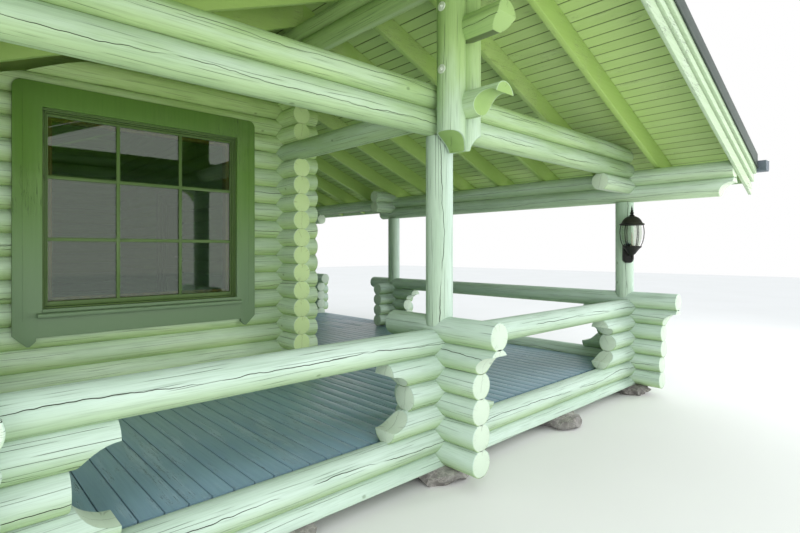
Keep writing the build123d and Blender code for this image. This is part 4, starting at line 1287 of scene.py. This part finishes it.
for side, run, _ in slopes:
    x = x_wall + side * run
    outer = x + side * fascia_thickness
    top = roof_under(x) + boards_top - roof_slope * fascia_thickness
    near, far = sorted((x, outer))
    fascia_low = (near, y_verge, top - rafter_rise - boards_rise)
    fascia_pieces.append(plank(fascia_low, (far, y_verge_back, top), 1, 0.003))
    top = roof_under(outer) + boards_top - roof_slope * fascia_thickness
    near, far = sorted((outer, outer + side * gutter_wide))
    bead_place = (outer + side * (gutter_wide - 0.002), 0, top - 0.002)
    gutter_pieces.append(gutter_trough(near, far, top))
    gutter_pieces.append(rod(1, gutter_from, gutter_to, bead_place, 0.006, 12))
    strap = gutter_strap(near, far, top)
    bridge_bar = block((near, -0.010, top - 0.004), (far, 0.010, top - 0.001))
    for y in rafter_ys:
        gutter_pieces += [twin(strap, (0, y, 0)), twin(bridge_bar, (0, y, 0))]
    drop(strap)
    drop(bridge_bar)
finish_piece(fascia_pieces, "eave_fascia_planks", verge_finish, ["eave_fascias"])
finish_piece(gutter_pieces, "eave_gutter_troughs", gutter_finish, ["gutters"], smooth=40.0)

# Window in the front wall
x_window = (window_left + window_right) / 2
y_face = y_wall - log_radius
glass_half = 4.16 * log_pitch
glass_low = course(6.51)
glass_high = course(14.65)
glass_edges = (glass_half, glass_low, glass_high)
casing_half = 5.46 * log_pitch
casing_low = course(4.65)
casing_high = course(16.0)
casing_face = y_face - casing_thickness
opening_half = glass_half + 0.25 * log_pitch
opening_low = course(6.1)
opening_high = course(14.95)


def window_block(low_side, low, high_side, high, y_near, y_far):
    """A block whose sides are told from the window's middle."""
    return block((x_window + low_side, y_near, low), (x_window + high_side, y_far, high))


def centred(half, low, high, y_near, y_far):
    """A block centred on the window."""
    return window_block(-half, low, half, high, y_near, y_far)


def ring(outer, inner, y_near, y_far, soft=0.002):
    """A rectangular frame around the window: half its width, its foot and its head, outside and in."""
    piece = cut(centred(*outer, y_near, y_far), centred(*inner, y_near - 0.1, y_far + 0.1))
    return grain(ease(piece, soft), 2)


def opening_less(side, foot):
    """The casing's opening made smaller at its sides and head, and at its foot."""
    return (opening_half - side, opening_low + foot, opening_high - side)


# The casing's side boards reach below the bottom board and have sawn-off corners
casing = centred(casing_half, casing_low, casing_high, casing_face, y_face)
foot_half = casing_half - 0.83 * log_pitch
foot_high = casing_low + 0.36 * log_pitch
cut(casing, centred(foot_half, casing_low - 0.1, foot_high, y_face - 0.2, y_face + 0.2))
foot_level = casing_low + 0.01
bevel_along(
    casing, 1, 0.22 * log_pitch, 1,
    lambda middle: middle.z < foot_level and abs(middle.x - x_window) < foot_half + 0.01,
)
bevel_along(
    casing, 1, 0.5 * log_pitch, 1,
    lambda middle: middle.z < foot_level and abs(middle.x - x_window) > casing_half - 0.01,
)
bevel_along(casing, 1, 0.35 * log_pitch, 6, lambda middle: middle.z > casing_high - 0.01)
cut(casing, centred(opening_half, opening_low, opening_high, y_face - 0.2, y_face + 0.2))
casing_pieces = [grain(ease(casing, 0.003), 2)]
for side in (-1, 1):
    x = side * (opening_half + 0.100)
    seam_foot, seam_head = opening_low - 0.05, casing_high - 0.06
    seam = window_block(x - 0.001, seam_foot, x + 0.001, seam_head, y_face - 0.0275, y_face - 0.025)
    casing_pieces.append(grain(ease(seam, 0.0004), 2))
sill_half = glass_half + 0.45 * log_pitch
sill = centred(sill_half, opening_low - 0.22 * log_pitch, opening_low, casing_face - 0.25 * log_pitch, y_face)
shape(
    sill,
    lambda middle, direction: abs(direction.x) > 0.9
    and middle.y < y_face - 0.05
    and middle.z > opening_low - 0.01,
    lambda: bpy.ops.transform.translate(value=(0, 0, -0.010)),
    "EDGE",
)
casing_pieces.append(grain(ease(sill, 0.003), 0))
sill_bead = centred(opening_half, opening_low - 0.004, opening_low + 0.018, y_face - 0.034, y_face - 0.002)
casing_pieces.append(grain(ease(sill_bead, 0.004), 0))
finish_piece(casing_pieces, "window_casing_boards", trim_finish, ["window_casing"])

# The frame steps back to the glass in mouldings with grooves between them
frame_edges = (window_width / 2, course(5.5), course(15.5))
frame_pieces = [
    ring(frame_edges, opening_less(0.004, 0.004), y_face + 0.001, y_face + 0.116),
    ring(opening_less(0.003, 0.003), opening_less(0.013, 0.014), y_face + 0.008, y_face + 0.08, 0.003),
    ring(opening_less(0.0155, 0.0165), opening_less(0.0235, 0.026), y_face + 0.017, y_face + 0.07, 0.002),
    ring(opening_less(0.026, 0.0285), glass_edges, y_face + 0.025, y_face + 0.06, 0.003),
]
bar_half = 0.012
bar_back = y_face + 0.0335
for x in (x_wall - 8.98 * log_pitch, x_wall - 6.10 * log_pitch):
    bar_low = (x - bar_half, y_face + 0.023, glass_low - 0.004)
    frame_pieces.append(plank(bar_low, (x + bar_half, bar_back, glass_high + 0.004), 2, 0.003))
for z in (course(9.25), course(11.99)):
    bar = centred(glass_half + 0.004, z - bar_half, z + bar_half, y_face + 0.024, bar_back)
    frame_pieces.append(grain(ease(bar, 0.003), 0))
finish_piece(frame_pieces, "window_frame_mouldings", window_finish, ["window_frame"])
lining_out = (glass_half + 0.02, glass_low - 0.02, glass_high + 0.02)
lining_in = (glass_half - 0.026, glass_low + 0.024, glass_high - 0.022)
finish_piece(
    [ring(lining_out, lining_in, y_face + 0.045, y_face + 0.112, 0.003)],
    "window_inner_lining", varnish_finish,
)
pane = centred(*glass_edges, bar_back, y_face + 0.0395)
finish_piece([ease(pane, 0.0008, 1)], "window_glass_panes", glass_finish, ["window_glass"])

# Door to the room, on the side porch
x_face = x_wall + log_radius
door_low = course(1.0)
door_high = course(14.0)
threshold = 0.5 * log_pitch
jamb = 0.045
leaf_low = door_low + threshold
leaf_high = door_high - jamb
leaf_from = door_from + jamb
leaf_to = door_to - jamb
door_ring = block((x_wall - log_radius, door_from, door_low), (x_face, door_to, door_high))
cut(door_ring, block((x_wall - 0.3, leaf_from, leaf_low), (x_wall + 0.3, leaf_to, leaf_high)))
stop_wide = 0.014
stop_ring = block(
    (x_wall - 0.045, leaf_from - 0.002, leaf_low), (x_wall - 0.017, leaf_to + 0.002, leaf_high + 0.002)
)
cut(
    stop_ring,
    block(
        (x_wall - 0.3, leaf_from + stop_wide, leaf_low - 0.1),
        (x_wall + 0.3, leaf_to - stop_wide, leaf_high - stop_wide),
    ),
)
finish_piece(
    [grain(ease(door_ring, 0.003), 2), grain(ease(stop_ring, 0.002), 2)],
    "door_frame_posts", door_finish, ["door_frame"],
)

# The leaf has two raised panels on both faces
leaf_face = x_face - 0.35 * log_pitch
leaf_back = leaf_face - 0.042
play = 0.003
stile = 0.115
field = 0.035
leaf = block(
    (leaf_back, leaf_from + play, leaf_low + play), (leaf_face, leaf_to - play, leaf_high - play)
)
door_panels = []
for panel_low, panel_high in ((leaf_low + 0.20, leaf_low + 0.72), (leaf_low + 0.84, leaf_high - 0.13)):
    for near, far in ((leaf_face - 0.012, leaf_face + 0.01), (leaf_back - 0.01, leaf_back + 0.012)):
        cut(leaf, block((near, leaf_from + stile, panel_low), (far, leaf_to - stile, panel_high)))
    raised = block(
        (leaf_back + 0.003, leaf_from + stile + field, panel_low + field),
        (leaf_face - 0.003, leaf_to - stile - field, panel_high - field),
    )
    shape(
        raised,
        lambda middle, normal: abs(normal.x) > 0.9,
        lambda: bpy.ops.mesh.bevel(offset=0.009, segments=1),
    )
    door_panels.append(grain(raised, 2))
finish_piece(
    [grain(ease(leaf, 0.003), 2)] + door_panels,
    "room_door_leaf", door_finish, ["room_door"],
)
handle_y = leaf_from + 0.075
handle_z = leaf_low + 0.98
handle_pieces = []
for face, outward in ((leaf_face, 1), (leaf_back, -1)):
    near, far = sorted((face, face + outward * 0.006))
    plate = block((near, handle_y - 0.020, handle_z - 0.11), (far, handle_y + 0.020, handle_z + 0.06))
    grip_x = face + outward * 0.045
    neck = rod(0, face, grip_x, (0, handle_y, handle_z), 0.009, 20)
    grip = rod(1, handle_y - 0.008, handle_y + 0.115, (grip_x, 0, handle_z), 0.009, 20)
    lock = rod(0, face, face + outward * 0.010, (0, handle_y, handle_z - 0.075), 0.011, 20)
    handle_pieces += [ease(plate, 0.004, 3), ease(neck, 0.001), ease(grip, 0.003, 3), ease(lock, 0.002)]
for hinge_z in (leaf_low + 0.2, leaf_low + 0.85, leaf_high - 0.2):
    hinge = rod(2, hinge_z - 0.045, hinge_z + 0.045, (leaf_face + 0.005, leaf_to - 0.001, 0), 0.008, 16)
    handle_pieces.append(ease(hinge, 0.002))
finish_piece(handle_pieces, "door_handle_and_hinges", handle_finish)
case_wide = 0.7 * log_pitch
case_lap = 0.15 * log_pitch
door_case = block(
    (x_face, door_from - case_wide, deck_top),
    (x_face + casing_thickness, door_to + case_wide, door_high + case_wide),
)
cut(
    door_case,
    block(
        (x_face - 0.1, leaf_from - case_lap, deck_top - 0.1),
        (x_face + 0.1, leaf_to + case_lap, leaf_high + case_lap),
    ),
)
finish_piece(
    [grain(ease(door_case, 0.003), 2)], "door_casing_boards", trim_finish, ["door_casing"]
)


# Lantern on the front right post
def lifted(profile, rise):
    """A profile's (radius, height) steps, moved up."""
    return [(radius, height + rise) for radius, height in profile]


def drawn_out(points, radius, sides, start, twist=0.0, ratios=None):
    """Draws a flat disc out along points, and can change its size at each."""
    bpy.ops.mesh.primitive_circle_add(
        vertices=sides, radius=radius, fill_type="NGON", location=start, rotation=(0, 0, twist)
    )
    piece = seat(bpy.context.object)
    take(piece)
    bpy.ops.object.mode_set(mode="EDIT")
    bpy.ops.mesh.select_all(action="SELECT")
    for number, point in enumerate(points):
        step = Vector(point) - Vector(points[number - 1] if number else start)
        bpy.ops.mesh.extrude_region_move(TRANSFORM_OT_translate={"value": step})
        if ratios:
            ratio = ratios[number]
            bpy.ops.transform.resize(value=(ratio, ratio, 1.0), center_override=Vector(point))
    bpy.ops.mesh.select_all(action="SELECT")
    bpy.ops.mesh.normals_make_consistent(inside=False)
    bpy.ops.object.mode_set(mode="OBJECT")
    return piece


def turned(profile, place, sides=24, twist=0.0):
    """A turned shape about an upright line: (radius, height) steps from the bottom up."""
    points = [Vector(place) + Vector((0, 0, height)) for _, height in profile]
    ratios = [after[0] / before[0] for before, after in zip(profile, profile[1:])]
    return drawn_out(points[1:], profile[0][0], sides, points[0], twist, ratios)


def bent_bar(points, radius):
    """A thin eight-sided bar that follows points, starting flat at the first."""
    return drawn_out(points[1:], radius, 8, points[0])


lantern_turn = radians(48.0)
lantern_reach = 1.36 * log_pitch
toward = Vector((-sin(lantern_turn), -cos(lantern_turn), 0.0))
post_middle = Vector((x_side, y_front + 0.3 * log_pitch, 0.0))
lantern_foot = course(8.15)
lantern_place = post_middle + lantern_reach * toward + Vector((0, 0, lantern_foot))
bowl_low = 0.9 * log_pitch
brim_low = 2.27 * log_pitch
drop_and_cup = [
    (0.003, 0.0), (0.007, 0.004), (0.009, 0.012), (0.006, 0.020), (0.010, 0.026),
    (0.014, 0.034), (0.012, 0.042), (0.020, 0.050), (0.030, 0.058), (0.046, 0.080),
    (0.064, 0.104), (0.078, 0.116), (0.083, 0.121), (0.084, bowl_low - 0.002), (0.078, bowl_low),
]
brim_and_roof = [
    (0.098, -0.004), (0.108, 0.0), (0.110, 0.005), (0.107, 0.010), (0.098, 0.014),
    (0.090, 0.020), (0.084, 0.034), (0.074, 0.050), (0.060, 0.064), (0.044, 0.074),
]
finial = [
    (0.030, 0.080), (0.022, 0.083), (0.024, 0.088), (0.018, 0.094), (0.011, 0.098), (0.015, 0.104),
    (0.019, 0.110), (0.015, 0.117), (0.009, 0.121), (0.012, 0.127), (0.013, 0.132), (0.008, 0.138),
    (0.006, 0.144), (0.008, 0.149), (0.006, 0.156), (0.004, 0.166), (0.0015, 0.184),
]
candle_steps = [
    (0.016, 0.0), (0.016, 0.008), (0.0075, 0.012), (0.0075, 0.075), (0.005, 0.078),
    (0.007, 0.088), (0.008, 0.096), (0.005, 0.112), (0.0015, 0.132),
]
rib_bow = [
    (0.094, 1.15 * log_pitch), (0.103, 1.42 * log_pitch), (0.107, 1.75 * log_pitch), (0.105, 2.0 * log_pitch),
]
lantern_pieces = [
    turned(drop_and_cup, lantern_place),
    turned(lifted(brim_and_roof + finial, brim_low), lantern_place),
]
for rib in range(6):
    angle = 2 * pi * rib / 6 + lantern_turn
    out = Vector((cos(angle), sin(angle), 0.0))
    steps = [(0.079, bowl_low)] + rib_bow + [(0.098, brim_low)]
    path = [lantern_place + out * (radius - 0.003) + Vector((0, 0, height)) for radius, height in steps]
    lantern_pieces.append(bent_bar(path, 0.004))
arm_steps = ((lantern_reach - 0.088, 0.030), (0.085, 0.040), (0.060, 0.052), (0.030, 0.062), (0.0, 0.074))
arm_path = [lantern_place - toward * back + Vector((0, 0, height)) for back, height in arm_steps]
lantern_pieces.append(bent_bar(arm_path, 0.009))
plate = block((-0.047, -0.017, -0.093), (0.047, 0.017, 0.093))
bevel_along(plate, 1, 0.036, 5)
shape(plate, lambda middle, normal: normal.y < -0.9, lambda: bpy.ops.mesh.inset(thickness=0.010))
shape(
    plate,
    lambda middle, normal: normal.y < -0.9 and abs(middle.z) < 0.01,
    lambda: bpy.ops.transform.translate(value=(0, -0.006, 0)),
)
ease(plate, 0.002)
plate_place = post_middle + toward * (post_radius + 0.011) + Vector((0, 0, lantern_foot + 0.064))
plate.data.transform(Matrix.Translation(plate_place) @ Matrix.Rotation(-lantern_turn, 4, "Z"))
lantern_pieces.append(plate)
finish_piece(
    lantern_pieces,
    "porch_lantern_metalwork", lantern_finish, ["lantern_body"], smooth=42.0,
)
bowl_steps = [(0.079, bowl_low + 0.001)] + rib_bow + [(0.098, brim_low - 0.001)]
bowl = turned([(radius - 0.0075, height) for radius, height in bowl_steps], lantern_place, 6, lantern_turn)
shape(bowl, lambda middle, normal: abs(normal.z) > 0.9, lambda: bpy.ops.mesh.delete(type="FACE"))
work(bowl, "SOLIDIFY", thickness=0.003, offset=-1.0)
finish_piece(
    [bowl], "porch_lantern_glass", lantern_glass_finish, ["lantern_glass"], smooth=20.0
)
candle = turned(lifted(candle_steps, bowl_low), lantern_place, 16)
finish_piece([candle], "porch_lantern_candle", candle_finish, smooth=50.0)

# Camera, floor and light
camera_data = bpy.data.cameras.new("porch_camera")
camera = bpy.data.objects.new("porch_camera", camera_data)
bpy.context.collection.objects.link(camera)
camera.location = (-2.5325, -5.432, 1.358)
camera.rotation_euler = (radians(90.0), 0.0, radians(-43.045))
camera_data.sensor_width = 36.0
camera_data.lens = 22.92
camera_data.shift_y = -0.0196
bpy.context.scene.camera = camera

bpy.ops.mesh.primitive_plane_add(size=60.0, location=(0, 0, 0))
floor = bpy.context.object
floor.name = "studio_floor"
floor_paper = Finish("studio_floor_paper")
floor_place = floor_paper.node("ShaderNodeTexCoord", output="Object")
floor_tone = floor_paper.noise(floor_place, 0.7, 2.0)
floor_colour = floor_paper.blend(floor_tone, paint(226, 226, 223), paint(232, 232, 230))
floor.data.materials.append(floor_paper.shaded(floor_colour, 0.9 + floor_tone * 0.02))


def soft_lamp(name, place, target, size, power):
    """A large soft lamp that faces a point."""
    lamp_data = bpy.data.lights.new(name, "AREA")
    lamp_data.shape = "SQUARE"
    lamp_data.size = size
    lamp_data.energy = power
    lamp = bpy.data.objects.new(name, lamp_data)
    lamp.location = place
    lamp.rotation_euler = (Vector(target) - Vector(place)).to_track_quat("-Z", "Y").to_euler()
    lamp.visible_glossy = False
    bpy.context.collection.objects.link(lamp)


soft_lamp("front_sky_lamp", (-7.0, -11.0, 8.0), (0.0, -2.5, 1.0), 7.0, 260.0)
soft_lamp("porch_fill_lamp", (-2.0, -7.2, 0.35), (-0.2, -1.8, 2.5), 3.0, 110.0)
soft_lamp("right_side_lamp", (6.2, -7.0, 2.0), (1.8, -2.0, 1.6), 3.0, 240.0)

# The world lights the cabin softly, and is seen as plain white
world = bpy.data.worlds.new("soft_studio_world")
bpy.context.scene.world = world
sky = Finish("soft_studio_world", world)
seen = sky.node("ShaderNodeLightPath", output="Is Camera Ray")
for ray in ("Is Glossy Ray", "Is Transmission Ray"):
    seen = seen.maths("MAXIMUM", sky.node("ShaderNodeLightPath", output=ray))
lit = sky.node("ShaderNodeBackground", inputs={"Color": (0.92, 0.96, 1.0, 1.0), "Strength": 1.2})
white = sky.node("ShaderNodeBackground", inputs={"Color": (1.0, 1.0, 1.0, 1.0), "Strength": 1.0})
both = sky.node("ShaderNodeMixShader", inputs={0: seen, 1: lit, 2: white})
sky.node("ShaderNodeOutputWorld", inputs={"Surface": both})

bpy.context.scene.view_settings.view_transform = "Standard"
